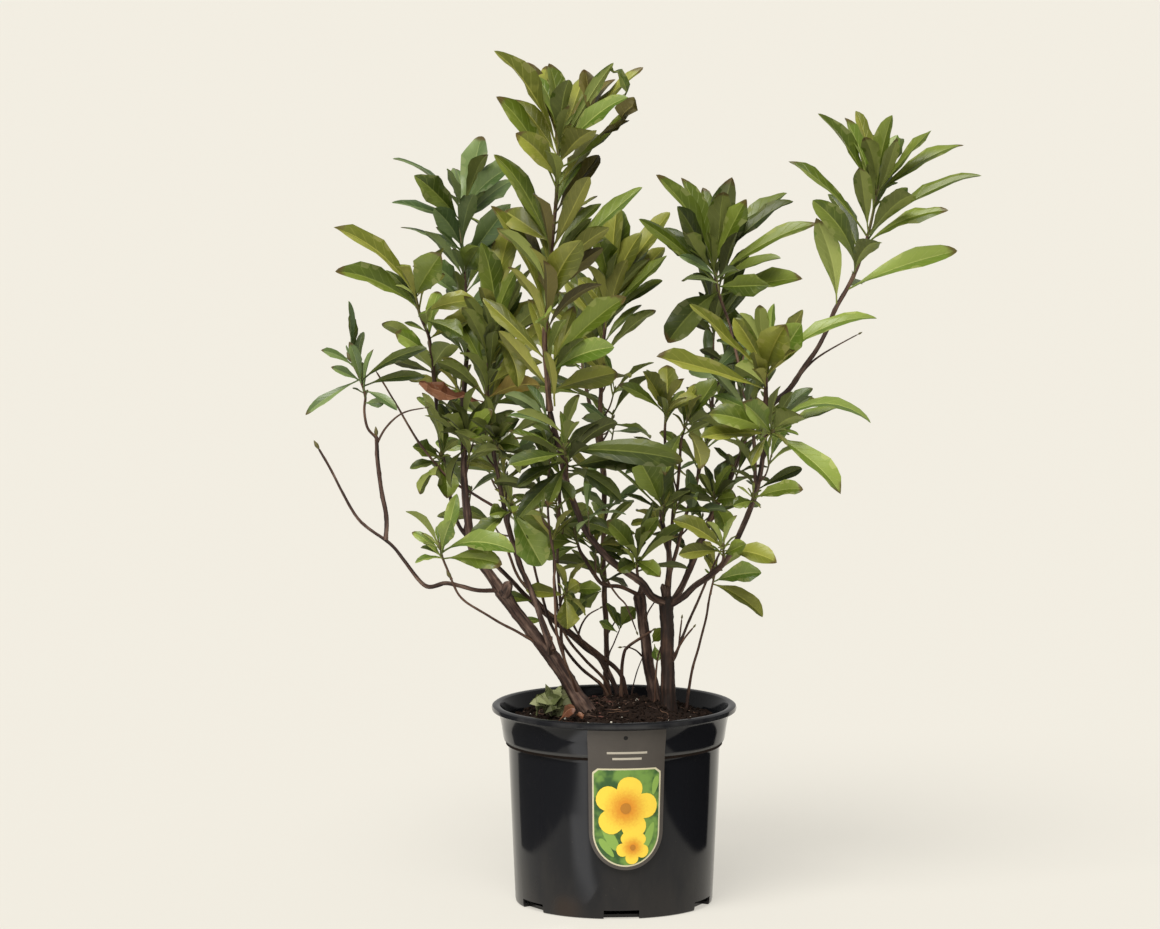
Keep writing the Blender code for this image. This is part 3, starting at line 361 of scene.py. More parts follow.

# %% [markdown]
# The plastic is scuffed where hands and other pots touch it: dust low down and a splash of mud
# at the front left of the foot. The pale grey on the outer rim is partly wear and partly a
# painted highlight, and the thin pale band on the ledge under the collar is a painted highlight.

# %% Pot's plastic
plastic = Finish("black_pot_plastic", "1a1b1f", 0.1, Specular_IOR_Level=0.26)
spot = plastic.place()
smear = plastic.noise(plastic.stretched(spot, 1, 1, 0.4), 26, 4)
height = plastic.parts(spot)[2]
reach = plastic.node("VectorMath", {"Vector": plastic.stretched(spot, 1, 1, 0)}, output=1,
                     operation='LENGTH')
dust = plastic.mask(smear - height * 5.0, 0.15, 0.6)
specks = plastic.mask(plastic.noise(spot, 420, 1), 0.74, 0.8)
# Wear on the outer rim, which is also a painted highlight along the lip.
rim_wear_and_highlight = plastic.mask(reach, 0.1138, 0.115) * plastic.mask(smear, 0.35, 0.6)
# A painted highlight: a thin pale band on the ledge under the collar.
ledge_highlight = plastic.mask(height, 0.1505, 0.1515) * plastic.mask(height, 0.1565, 0.154)
mud = plastic.mask(plastic.distance(spot, (-0.045, -0.08, 0.006)) + smear * 0.03, 0.034, 0.02)
tone = plastic.mix(dust * 0.1 + specks * 0.1, "18191d", "6f665a")
# Pale grey for the rim's wear and painted highlight, and for the ledge's painted highlight.
tone = plastic.mix(rim_wear_and_highlight * 0.1 + ledge_highlight * 0.2, tone, "8b8a88")
plastic.set("Base Color", plastic.mix(mud * 0.4, tone, "3f3024"))
plastic.set("Roughness", 0.07 + smear * 0.07 + dust * 0.12 + mud * 0.4 + ledge_highlight * 0.3)
plastic.bump(smear, 0.0003, 0.25)
pot.data.materials.append(plastic.material)
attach(pot, "root")
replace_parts(pot, "pot")
print("pot:", len(pot.data.polygons), "faces")

# %% [markdown]
# ## The soil
# Potting mix is shredded bark and peat: nearly black, crumbly, with a few white grains of
# perlite. The mound is modelled like the pot, from a circle whose rim is extruded inwards
# ring by ring, and noise then lifts its points. The crumbs lie on it as a scatter of small
# broken lumps, because loose grains at the edge are what makes soil look like soil.

# %% Soil mound
SOIL_EDGE = 101.7
SOIL_RING = 2.2                # width of each ring of the mound
COLLAR_FOOT_RADIUS = 104.0
COLLAR_FOOT_HEIGHT = 156.0


def soil_height(x, y):
    """Height of the soil's top: a mound with small lumps."""
    reach = min(1.0, math.hypot(x, y) / COLLAR_FOOT_RADIUS)
    lumps = noise.noise(Vector((x * 0.045, y * 0.045, 3.7)))
    return 168 + 22 * (1 - reach ** 1.8) + 3 * lumps


def crumbly_height(x, y):
    """The same with the relief of single crumbs."""
    rough = noise.noise(Vector((x * 0.14, y * 0.14, 9.1)))
    grains = noise.noise(Vector((x * 0.42, y * 0.42, 5.3)))
    return soil_height(x, y) + 1.6 * rough + 1.1 * grains


pick()
bpy.ops.mesh.primitive_circle_add(vertices=160, radius=SOIL_EDGE * MM, fill_type='NGON',
                                  location=(0, 0, 150 * MM))
soil = bpy.context.object
soil.name = "potting_mix"
settle(soil)
edit(soil)
bpy.ops.mesh.extrude_region_move(TRANSFORM_OT_translate={"value": (0, 0, 18 * MM)})
for _ in range(int(SOIL_EDGE / SOIL_RING)):
    bpy.ops.mesh.inset(thickness=SOIL_RING * MM, use_even_offset=True)
bpy.ops.mesh.poke()
edit(soil)
bpy.ops.mesh.normals_make_consistent(inside=False)
pick()
for v in soil.data.vertices:
    if v.co.z > 160 * MM:
        v.co.z = crumbly_height(v.co.x / MM, v.co.y / MM) * MM
        if math.hypot(v.co.x, v.co.y) > 101 * MM:
            v.co.z -= 1.5 * MM
soil.data.shade_smooth()

peat = Finish("potting_mix", "1c130d", 0.95, Specular_IOR_Level=0.2)
spot = peat.place()
clods = peat.noise(spot, 260, 5)
fibres = peat.mask(peat.noise(peat.stretched(spot, 1, 1, 3), 620), 0.58, 0.72)
peat.set("Base Color", peat.mix(fibres * 0.3, peat.mix(clods, "080504", "2c1e16"), "523a29"))
peat.bump(clods, 0.0016, 0.9)
soil.data.materials.append(peat.material)
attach(soil, "root")
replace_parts(soil, "soil")
print("soil reaches", round(max(v.co.z for v in soil.data.vertices) / MM, 1), "mm")

# %% [markdown]
# ## Many small things in one mesh
# Crumbs, leaves and twigs are too many to be objects of their own. A heap gathers their
# corners and faces, with a vector at each corner that a material can read and a finish for
# each face, and makes one mesh of them all at the end.

# %% Heap
class Heap:
    """Corners and faces of many small things that become one piece."""

    def __init__(self, name, *finishes, reads="blade"):
        self.name, self.finishes, self.reads = name, finishes, reads
        self.corners, self.faces, self.kinds, self.marks, self.nodes = [], [], [], [], []

    def add(self, corners, faces, marks=None, kinds=None):
        start = len(self.corners)
        self.corners += [tuple(c * MM) for c in corners]
        self.faces += [tuple(start + i for i in face) for face in faces]
        self.marks += marks or [(0, 0, 0)] * len(corners)
        self.kinds += kinds or [0] * len(faces)

    def build(self, slot, smooth_below=40):
        mesh = bpy.data.meshes.new(self.name)
        mesh.from_pydata(self.corners, [], self.faces)
        marks = mesh.attributes.new(self.reads, 'FLOAT_VECTOR', 'POINT')
        marks.data.foreach_set("vector", [n for mark in self.marks for n in mark])
        for finish in self.finishes:
            mesh.materials.append(finish.material)
        mesh.polygons.foreach_set("material_index", self.kinds)
        piece = bpy.data.objects.new(self.name, mesh)
        scene.collection.objects.link(piece)
        round_off(piece, smooth_below)
        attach(piece, "root")
        print(self.name, "faces:", len(mesh.polygons))
        return piece


# %% Crumbs on the soil
LUMP_CORNERS = (               # two poles and two rings of five
    (0, 0, 1), (.9, 0, .3), (.25, .85, .4), (-.75, .5, .35), (-.7, -.55, .3), (.3, -.9, .35),
    (.7, .5, -.45), (-.2, .8, -.5), (-.85, 0, -.4), (-.2, -.85, -.45), (.7, -.5, -.5),
    (0, 0, -1))
LUMP_FACES = [(0, i, i % 5 + 1) for i in range(1, 6)] + [
    face for i in range(1, 6) for face in ((i, i + 5, i % 5 + 1), (i % 5 + 1, i + 5, i % 5 + 6))
] + [(11, i % 5 + 6, i + 5) for i in range(1, 6)]


def spin(axis, most=math.tau):
    """A random turn round an axis."""
    return Matrix.Rotation(rng.uniform(0, most), 3, axis)


def lump(centre, size):
    """A broken grain: a rough ball, stretched and turned at random."""
    turn = spin('Z') @ spin('X', math.pi)
    stretch = [size * rng.uniform(0.5, 1.1) for _ in range(3)]
    return [centre + turn @ Vector([c[i] * stretch[i] * rng.uniform(0.8, 1.2)
                                    for i in range(3)]) for c in LUMP_CORNERS]


rng = random.Random(5)
crumbs = Heap("crumbs", peat, Finish("perlite", "d9d4c6", 0.9),
              Finish("red_bark_chips", "5f3a31", 0.85),
              Finish("tan_bark_chips", "443125", 0.85))
for i in range(2600):
    reach = 100 * math.sqrt(rng.random())
    turn = rng.uniform(0, math.tau)
    x, y = reach * math.sin(turn), -reach * math.cos(turn)
    size = min(rng.uniform(0.6, 2.2) * rng.choice((0.8, 1, 1, 1.7)), 101 - reach)
    if size > 0.3:
        grain = lump(Vector((x, y, crumbly_height(x, y) + size * 0.3)), size)
        crumbs.add(grain, LUMP_FACES, kinds=[int(i % 70 == 0)] * len(LUMP_FACES))
for _ in range(100):
    # Chips of bark lie thickest round the stems.
    x, y = rng.gauss(-16, 20), rng.gauss(-6, 24)
    if math.hypot(x, y) < 92:
        chip = lump(Vector((0, 0, 0)), rng.uniform(1.0, 2.4))
        turn = spin('Z')
        rest = Vector((x, y, crumbly_height(x, y) + 1.2))
        long = rng.uniform(1.5, 3.2)
        crumbs.add([rest + turn @ Vector((c.x * long, c.y, c.z * 0.6)) for c in chip],
                   LUMP_FACES, kinds=[rng.choice((2, 3, 3, 0))] * len(LUMP_FACES))
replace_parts(crumbs.build("soil"), "soil")

# %% [markdown]
# ## The label
# A printed plastic strip hooks under the lip and hangs down the front. Everything on it is
# laid out flat first, as a printer would, by its distance to the side and its height. Then
# one function wraps it round the pot. Raised prints lie a few tenths of a millimetre over
# the strip. A blossom with five petals fills the window, and two plain bars take the place
# of the lettering.

# %% Label strip and window
LABEL_TOP = 179.4
LABEL_TURN = math.radians(6.2)   # to the right of the front
LIP_FOOT = 181.0


def on_label(side, height, out=0.0):
    """The place of a point of the flat layout: on the collar, then nearly straight down."""
    rise = height - COLLAR_FOOT_HEIGHT
    slope = 4 / (LIP_FOOT - COLLAR_FOOT_HEIGHT) if rise > 0 else 0.055
    radius = 104.3 + slope * rise + out
    turn = LABEL_TURN + side / COLLAR_FOOT_RADIUS
    return Vector((radius * math.sin(turn), -radius * math.cos(turn), height)) * MM


def lay(piece, name, out, thick, finish):
    """Thickens a flat layout, wraps it round the pot, raised by out, and finishes it."""
    piece.name = name
    wall = piece.modifiers.new("thickness", 'SOLIDIFY')
    wall.thickness = thick * MM
    wall.offset = 1
    apply_modifiers(piece)
    low = min(v.co.y for v in piece.data.vertices)
    for v in piece.data.vertices:
        v.co = on_label(v.co.x / MM, v.co.z / MM, out + (v.co.y - low) / MM)
    round_off(piece, 35)
    piece.data.materials.append(finish.material)
    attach(piece, "root")
    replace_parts(piece, "label")


def tab(name, width, top, bottom, corner, *layer):
    """A strip with round upper corners and a half-round lower end."""
    pick()
    bpy.ops.mesh.primitive_grid_add(x_subdivisions=18, y_subdivisions=40, size=1)
    half = width / 2
    for v in bpy.context.object.data.vertices:
        height = top - (top - bottom) * math.sin((0.5 - v.co.y) * math.pi / 2)
        below = max(0.0, bottom + half - height)
        above = max(0.0, corner - (top - height))
        wide = math.sqrt(max(half * half - below * below, 0.3))
        wide -= corner - math.sqrt(corner * corner - above * above)
        v.co = Vector((2 * v.co.x * wide, 0, height)) * MM
    lay(bpy.context.object, name, *layer)


card = Finish("label_card", "4c4641", 0.42)
grain = card.noise(card.place(), 60)
card.set("Base Color", card.mix(grain * 0.5, "3f3a36", "5b544d"))
card.bump(grain, 0.0003, 0.3)
green = Finish("window_green", "3f6a2c", 0.4)
green.set("Base Color", green.mix(green.mask(green.noise(green.place(), 75, 2), 0.35, 0.65),
                                  "2c5424", "6f9440"))
tab("label_strip", 72, LABEL_TOP, 47.4, 0.6, 0, 0.9, card)
tab("window_border", 64.5, 143.5, 50.6, 5, 0.9, 0.16, Finish("window_border", "cfc8a9", 0.45))
tab("window_field", 61.5, 142, 52.1, 4.4, 1.0, 0.2, green)

# %% [markdown]
# The hole, the bars and the blossoms are small enough to be cut from discs and plates. Each
# is a fan of triangles from its middle, divided so that it can bend with the pot.

# %% Prints on the label
BLOSSOMS = (                   # name, middle (side, height), petal length, turn
    ("large_blossom", (-1, 106), 30, 0.2), ("small_blossom", (6, 69), 16, 0.7))
PRINTED_LEAVES = (             # foot, length, turn
    ((-24, 92), 30, 2.6), ((26, 92), 26, 3.5), ((-12, 60), 22, 5.6), ((25, 118), 18, 0.2))
BARS = ((37, 158.2), (27, 152.6))   # width, height of the middle
BAR_HALF = 1.0
HOLE = (-1.5, 172.5)


def aside(middle, turn, distance):
    return middle[0] + distance * math.sin(turn), middle[1] + distance * math.cos(turn)


def disc(middle, radius, corners):
    return [aside(middle, math.tau * i / corners, radius) for i in range(corners)]


def print_fan(name, outline, middle, *layer):
    """A flat print with the given outline of (side, height) points round its middle."""
    pick()
    bpy.ops.mesh.primitive_circle_add(vertices=len(outline), radius=1, fill_type='TRIFAN')
    piece = bpy.context.object
    rim = iter(outline)
    for v in piece.data.vertices:
        side, height = middle if v.co.length < 0.5 else next(rim)
        v.co = Vector((side, 0, height)) * MM
    edit(piece)
    bpy.ops.mesh.subdivide(number_cuts=2)
    lay(piece, name, *layer)


def print_petal(name, foot, turn, length, width, *layer):
    """A print that is as long as a petal and widest towards its end."""
    outline = []
    for i in range(22):
        a = math.tau * i / 22
        along = length * (0.5 - 0.5 * math.cos(a))
        across = width / 2 * math.sin(a) * (0.55 + 0.45 * along / length)
        outline.append((foot[0] + along * math.sin(turn) + across * math.cos(turn),
                        foot[1] + along * math.cos(turn) - across * math.sin(turn)))
    print_fan(name, outline, aside(foot, turn, length / 2), *layer)


petals = Finish("petal_print", "f4cc34", 0.4)
eyes = Finish("eye_print", "b8791a", 0.45)
leaf_print = Finish("leaf_print", "87aa4c", 0.4)
bars = Finish("pale_print", "b9b2a4", 0.5)
for k, (foot, length, turn) in enumerate(PRINTED_LEAVES):
    print_petal(f"printed_leaf_{k}", foot, turn, length, length * 0.4, 1.2, 0.15, leaf_print)
throat = None
for name, middle, size, turn in BLOSSOMS:
    for k in range(5):
        print_petal(f"{name}_petal_{k}", middle, turn + math.tau * k / 5, size, size * 0.98,
                    1.35 + 0.05 * k, 0.2, petals)
    print_fan(f"{name}_eye", disc(middle, size * 0.17, 14), middle, 1.75, 0.25, eyes)
    gone = petals.distance(petals.place(), on_label(*middle)) / (size * MM)
    throat = throat.math('MINIMUM', gone) if throat else gone
petals.set("Base Color", petals.mix(
    petals.mask(throat + petals.noise(petals.place(), 520, 2) * 0.3, 0.3, 0.95),
    "dc8f1c", "f6d443"))
for k, (width, height) in enumerate(BARS):
    corners = [(width * side / 2, height + BAR_HALF * up) for side, up in
               ((-1, -1), (0, -1), (1, -1), (1, 1), (0, 1), (-1, 1))]
    print_fan(f"plain_bar_{k}", corners, (0, height), 0.9, 0.15, bars)
print_fan("label_hole", disc(HOLE, 2, 16), HOLE, 0.9, 0.08, Finish("label_hole", "0d0c0b", 0.8))
print("label prints:", 1 + len(BARS) + len(PRINTED_LEAVES) + 6 * len(BLOSSOMS))

# %% [markdown]
# ## The stems
# An azalea that has grown leggy carries a few bare woody stems from the soil, which fork
# into boughs and end in leafy shoots. Each limb is a path of points (side, depth, height)
# with its radius at the foot and at the tip. A limb whose carrier is None stands in the
# soil, and every other one leaves the limb that is named as its carrier.

# %% Table of limbs
LIMBS = {
    "trunk_left": (None, 10.5, 7.0, [
        (-25, -30, 183), (-37, -29, 202), (-51, -30, 225), (-65, -32, 245),
        (-86, -35, 273), (-108, -40, 303)]),
    "trunk_middle": (None, 6.0, 4.8, [
        (39, 20, 190), (36, 19, 206), (31, 16, 235), (27, 13, 264), (23, 10, 291)]),
    "trunk_right": (None, 7.0, 6.0, [
        (51, -10, 184), (51, -10, 201), (50, -8, 239), (49, -5, 291)]),
    "stem_cross": (None, 3.6, 2.0, [
        (6, 35, 194), (-9, 36, 218), (-27, 36, 234), (-49, 34, 254), (-79, 26, 281),
        (-103, 14, 308), (-122, 4, 328), (-143, 2, 352), (-153, 2, 380), (-159, 0, 412),
        (-164, -5, 451), (-167, -10, 489)]),
    "stem_front": (None, 2.2, 1.5, [
        (-34, 14, 194), (-45, 8, 219), (-49, 0, 247), (-51, -8, 286), (-53, -14, 325),
        (-51, -22, 382)]),
    "stem_back": (None, 3.0, 2.2, [
        (-7, 45, 190), (-7, 48, 230), (-8, 52, 277), (-10, 58, 324), (-9, 64, 371),
        (-10, 70, 409), (-13, 76, 446), (-12, 82, 493)]),
    "stem_red": (None, 1.6, 1.1, [
        (68, 12, 190), (73, 16, 214), (80, 20, 239), (87, 22, 268), (91, 20, 290)]),
    "leader_left": ("trunk_left", 6.2, 2.4, [
        (-110, -41, 306), (-117, -42, 315), (-126, -42, 330), (-134, -38, 348), (-137, -32, 374),
        (-140, -20, 410), (-141, -12, 447), (-140, -5, 483), (-137, 5, 520)]),
    "bough_left_low": ("trunk_left", 3.4, 1.4, [
        (-113, -47, 293), (-126, -50, 301), (-141, -51, 305), (-157, -54, 309), (-175, -58, 307),
        (-194, -62, 330), (-209, -64, 348), (-237, -66, 371), (-260, -68, 414),
        (-273, -70, 437)]),
    "bough_left_upright": ("bough_left_low", 2.8, 2.4, [
        (-210, -58, 353), (-211, -56, 370), (-217, -55, 405), (-220, -54, 447)]),
    "stem_inner_left": ("trunk_left", 3.6, 2.0, [
        (-54, -42, 239), (-62, -44, 253), (-73, -40, 285), (-81, -32, 308), (-90, -26, 326),
        (-100, -22, 363), (-105, -22, 391), (-112, -22, 424), (-117, -24, 462)]),
    "stem_fine": ("trunk_left", 1.7, 1.2, [
        (-48, -42, 226), (-52, -58, 256), (-56, -62, 308), (-55, -62, 327), (-60, -64, 360),
        (-62, -66, 397)]),
    "bough_middle_left": ("trunk_middle", 2.5, 1.9, [
        (21, 8, 291), (6, 4, 297), (-10, 0, 299), (-19, -2, 310), (-29, -4, 327)]),
    "bough_centre": ("trunk_right", 5.2, 3.0, [
        (41, -12, 283), (35, -17, 291), (26, -23, 304), (10, -30, 317), (-8, -38, 333),
        (-25, -46, 355), (-37, -54, 382), (-46, -62, 411), (-53, -70, 444), (-60, -77, 473)]),
    "bough_right_inner": ("trunk_right", 4.2, 1.6, [
        (49, -4, 294), (51, 3, 306), (52, 8, 318), (51, 10, 333), (45, 8, 360), (46, 4, 388),
        (47, 0, 422)]),
    "bough_red": ("bough_right_inner", 2.0, 1.4, [
        (54, 16, 348), (55, 17, 364), (58, 13, 382), (61, 6, 407), (62, 2, 431)]),
    "bough_back_right": ("trunk_right", 4.2, 3.2, [
        (54, 6, 275), (62, 17, 292), (72, 26, 314), (85, 36, 342), (96, 44, 366), (107, 50, 388),
        (116, 54, 408)]),
    "bough_right": ("trunk_right", 4.2, 2.6, [
        (58, -12, 280), (65, -15, 290), (76, -18, 302), (91, -22, 313), (104, -26, 326),
        (117, -30, 353), (129, -33, 384), (136, -35, 414), (139, -36, 440), (140, -37, 464),
        (140, -38, 476)]),
    "bough_high_right": ("bough_right", 2.9, 2.1, [
        (143, -36, 471), (158, -32, 483), (175, -28, 505), (190, -24, 528), (199, -21, 545)]),
    "stem_high_right": ("bough_right", 2.0, 1.3, [
        (134, -28, 438), (128, 0, 467), (120, 15, 493), (114, 30, 517), (108, 45, 542),
        (102, 55, 558)]),
    "stem_back_right": ("bough_right_inner", 2.2, 1.4, [
        (56, 18, 324), (64, 28, 348), (74, 42, 378), (83, 56, 410), (91, 66, 438), (94, 78, 475),
        (94, 90, 512)]),
    "twig_left_low": ("trunk_left", 1.5, 1.1, [
        (-88, -44, 261), (-106, -50, 271), (-128, -56, 285), (-143, -60, 298),
        (-152, -64, 316)]),
    "bough_back_left": ("stem_inner_left", 2.6, 1.9, [
        (-80, -24, 300), (-96, 30, 335), (-105, 88, 368), (-112, 145, 404)]),
    "bough_back_middle": ("stem_back", 2.2, 1.8, [
        (-13, 80, 420), (-17, 112, 434), (-21, 145, 447)]),
}

# %% [markdown]
# A limb's path is a smooth curve through its points. It starts where the limb leaves its
# carrier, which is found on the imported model's own skin, and the visible tube is let into
# the carrier as far as its axis, so no gap shows at a fork.

# %% Paths of the limbs
GAP = 0.3                      # air between a limb's foot and its carrier, as packed
FLARE = 1.3                    # how much wider a trunk is where it leaves the soil
SLANT = 0.9                    # how far below its seat a twig leaves, by the seat's distance
AT_TIP = 6                     # a limb that starts this near a tip carries it on


def smooth_path(points, per_span=1):
    """Points of a Catmull-Rom curve through the given points."""
    ends = [2 * points[0] - points[1], *points, 2 * points[-1] - points[-2]]
    path = []
    for a, b, c, d in zip(ends, ends[1:], ends[2:], ends[3:]):
        for i in range(per_span):
            t = i / per_span
            path.append(0.5 * (2 * b + (c - a) * t + (2 * a - 5 * b + 4 * c - d) * t * t
                               + (3 * b - a - 3 * c + d) * t ** 3))
    return path + [points[-1].copy()]


def spans(path):
    return [(b - a).length for a, b in zip(path, path[1:])]


def shares(path):
    """How far along the path each of its points is, from 0 to 1."""
    run = [0.0]
    for span in spans(path):
        run.append(run[-1] + span)
    return [r / run[-1] for r in run]


def at_share(path, share):
    """The point and direction at a share of the path's length."""
    marks = shares(path)
    for i in range(len(path) - 1):
        if marks[i + 1] >= share:
            t = (share - marks[i]) / (marks[i + 1] - marks[i])
            return path[i].lerp(path[i + 1], t), (path[i + 1] - path[i]).normalized()
    return path[-1].copy(), (path[-1] - path[-2]).normalized()


def round_points(here, side, above, radius, count, first=0.0):
    """Points on a circle."""
    return [here + (side * math.cos(a) + above * math.sin(a)) * radius
            for a in (math.tau * i / count + first for i in range(count))]


def loft(rings, tip=None):
    """Corners and faces of a skin over rings of points, closed at both ends."""
    corners = [p for ring in rings for p in ring]
    sides = len(rings[0])
    faces = [tuple(range(sides))[::-1]]
    for i in range(len(rings) - 1):
        for j in range(sides):
            k = (j + 1) % sides
            a, b = i * sides, (i + 1) * sides
            faces.append((a + j, a + k, b + k, b + j))
    last = (len(rings) - 1) * sides
    if tip is None:
        faces.append(tuple(range(last, last + sides)))
    else:
        corners.append(tip)
        faces += [(last + j, last + (j + 1) % sides, len(corners) - 1) for j in range(sides)]
    return corners, faces


def seat_height(x, y, foot_radius):
    """Height of the flat in the soil under a stem."""
    radius = foot_radius * FLARE * 1.2 + 3
    return min(soil_height(x + radius * math.cos(i * math.pi / 4),
                           y + radius * math.sin(i * math.pi / 4)) for i in range(8)) - 1.0


def skin_of(node):
    """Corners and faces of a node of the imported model, in millimetres."""
    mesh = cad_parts[node].data
    return [v.co / MM for v in mesh.vertices], [p.vertices[:] for p in mesh.polygons]


limb_paths = {}
roots = {}                     # the point inside the carrier or the soil where a tube starts
limb_skins = {name: skin_of(name) for name in LIMBS}
limb_trees = {name: BVHTree.FromPolygons(*skin) for name, skin in limb_skins.items()}


def seated(carrier, point, radius):
    """Where a limb leaves its carrier: its foot on the bark, its way out, the axis under it."""
    path = limb_paths[carrier]
    if (path[-1] - point).length < AT_TIP:
        ahead = (path[-1] - path[-2]).normalized()
        return path[-1] + ahead * GAP, ahead, path[-1] - ahead * 3
    near, ahead = min((at_share(path, i / 200) for i in range(1, 200)),
                      key=lambda here: (here[0] - point).length)
    way = point - near
    way = (way - ahead * way.dot(ahead)).normalized()
    foot = limb_trees[carrier].ray_cast(near + way * 30, -way)[0] + way * GAP
    side = ahead.cross(way)
    while limb_trees[carrier].overlap(BVHTree.FromPolygons(*loft(
            [round_points(foot + way * rise, ahead, side, radius, 8) for rise in (-0.1, 1)]))):
        foot += way * 0.1
    return foot, way, near


def slanted(carrier, root, first):
    """The place lower on a carrier's axis from which a twig leaves it at a slant."""
    path = limb_paths[carrier]
    if (path[-1] - root).length < AT_TIP:
        return root
    share = min((i / 150 for i in range(150)),
                key=lambda s: (at_share(path, s)[0] - root).length)
    return at_share(path, max(share - SLANT * (first - root).length / sum(spans(path)), 0))[0]


for name, (carrier, foot_radius, _, given) in LIMBS.items():
    points = [Vector(p) for p in given]
    if carrier is None:
        points[0].z = seat_height(points[0].x, points[0].y, foot_radius) + GAP
        points[0] -= (points[1] - points[0]).normalized() * 6
        roots[name] = points[0] - (points[1] - points[0]).normalized() * 8
    else:
        foot, way, roots[name] = seated(carrier, points[0], foot_radius)
        points = [p for p in points[1:] if (p - foot).length > 2.5 * foot_radius]
        points = [foot, foot + way * foot_radius * 1.2] + points
    limb_paths[name] = points
print("limbs:", len(limb_paths))

# %% [markdown]
# ## Bark
# Woody azalea stems are dark and finely ridged along their length, with ring-like nodes
# where leaves once stood and a swollen collar at each fork. The relief is made in the mesh:
# every ring of a tube is pushed in and out by noise that changes quickly round the stem and
# slowly along it. Each corner carries its place on the unrolled bark, so the colour's
# streaks follow the limb round every bend.

# %% Bark tubes
SLIM = {                       # a stem's own thickness, as a share of its stouter solid's
    "trunk_left": 0.7, "trunk_middle": 0.9, "trunk_right": 0.92, "leader_left": 0.74,
    "bough_left_low": 0.64, "bough_left_upright": 0.72, "bough_centre": 0.7,
    "bough_right_inner": 0.74, "bough_back_right": 0.74, "bough_right": 0.72,
    "stem_cross": 0.68, "stem_inner_left": 0.78, "bough_middle_left": 0.8,
    "stem_front": 0.74, "stem_fine": 0.8,
}
KNOTS = {"trunk_left": 0.34, "trunk_middle": 0.26, "trunk_right": 0.3}   # swelling at a fork
RIDGES = ((1, 1.5, 0.02), (0.6, 4.2, 0.05), (0.35, 3, 0.3))   # depth, rate round, rate along
RING_STEP = 2.6                # distance between two rings of a tube
NODE_STEP = (16, 40)           # least and most distance between two nodes


def tube_radius(name, foot_radius, tip_radius, share, run, here):
    """Radius with the flare at the soil or the collar at a fork."""
    radius = foot_radius + (tip_radius - foot_radius) * share
    if LIMBS.get(name, (1,))[0] is None:
        rise = max(here.z - soil_height(here.x, here.y), 0)
        return radius * (1 + (FLARE - 1) * math.exp(-rise / 14))
    return radius * (1 + 0.2 * math.exp(-max(run - foot_radius, 0) / (1.4 * foot_radius)))


def thinned(path, least):
    """The path without the points that crowd the one before, which would kink the curve."""
    kept = [path[0]]
    for point in path[1:-1]:
        if (point - kept[-1]).length > least and (point - path[-1]).length > least:
            kept.append(point)
    return kept + [path[-1]]


def bark_tube(heap, name, path, foot_radius, tip_radius, sides, rough, kind=0, green_from=2.0):
    """Adds one limb with its ridges, nodes and leaf scars to a heap; green past a share."""
    fine = smooth_path(thinned(path, 3 * foot_radius + 2), 8)
    length = sum(spans(fine))
    count = max(4, int(length / RING_STEP))
    nodes = []
    mark = rng.uniform(*NODE_STEP)
    while mark < length - 4:
        nodes.append((mark, rng.uniform(0, math.tau), rng.uniform(0.5, 1)))
        mark += rng.uniform(*NODE_STEP) * (0.5 + 0.25 * foot_radius / 3)
    side = (fine[1] - fine[0]).orthogonal().normalized()
    rings, marks = [], []
    shift = rng.uniform(0, 50)
    for i in range(count + 1):
        share = i / count
        here, ahead = at_share(fine, share)
        side = (side - ahead * side.dot(ahead)).normalized()
        above = ahead.cross(side)
        run = share * length
        radius = tube_radius(name, foot_radius, tip_radius, share, run, here)
        radius *= 1 + KNOTS.get(name, 0) * math.exp(-((length - run) / 15) ** 2)
        here = here + noise.noise_vector(Vector((run * 0.035, shift, 0))) * (
            min(run / 20, 1) * min((length - run) / 20, 1) * (0.8 + 0.12 * radius))
        if length - run < tip_radius:
            over = 1 - (length - run) / tip_radius
            radius *= math.sqrt(max(1 - over * over, 0.08))
        ring = []
        for j in range(sides):
            a = math.tau * j / sides
            u, w = math.cos(a), math.sin(a)
            relief = sum(rough * depth * noise.noise(
                Vector((u * around, w * around, run * along + shift)))
                for depth, around, along in RIDGES)
            for place, turn, size in nodes:
                if abs(run - place) < 7:
                    near = math.exp(-((run - place) / 2.2) ** 2)
                    relief += size * near * (0.07 + 0.16 * max(math.cos(a - turn), 0) ** 3)
            ring.append(here + (side * u + above * w) * radius * (1 + relief))
            marks.append((u * radius * MM, w * radius * MM, run * MM + shift))
        rings.append(ring)
    corners, faces = loft(rings)
    kinds = [kind] + [kind + (i / count + rng.uniform(-0.08, 0.08) > green_from)
                      for i in range(count) for _ in range(sides)] + [kind]
    heap.add(corners, faces, marks, kinds)


def bark_finish(name, dark, middle, light, roughness):
    """Bark with streaks along the stem and pale specks."""
    bark = Finish(name, middle, roughness)
    mark = bark.attribute("bark")
    streaks = bark.noise(bark.stretched(mark, 1, 1, 0.07), 420, 4)
    patches = bark.noise(bark.stretched(mark, 1, 1, 0.35), 120)
    specks = bark.mask(bark.noise(bark.stretched(mark, 1, 1, 2.2), 700, 2), 0.66, 0.74)
    tone = bark.mix(bark.mask(streaks, 0.3, 0.7), dark, middle)
    tone = bark.mix(bark.mask(patches * 0.7 + streaks * 0.4, 0.5, 0.85), tone, light)
    bark.set("Base Color", bark.mix(specks * 0.35, tone, light))
    bark.bump(streaks + specks * 0.3, 0.0008, 0.7)
    return bark


old_bark = bark_finish("old_bark", "1c0f0b", "4c342a", "93796a", 0.78)
# A darker, redder bark, which only the right trunk has.
dark_bark = bark_finish("dark_bark", "160b05", "301d13", "5a3d2d", 0.7)
young_bark = bark_finish("young_bark", "2f1b13", "573a2b", "8d7058", 0.66)
green_wood = bark_finish("green_shoot", "4a3d22", "6a6636", "8b8a4e", 0.6)

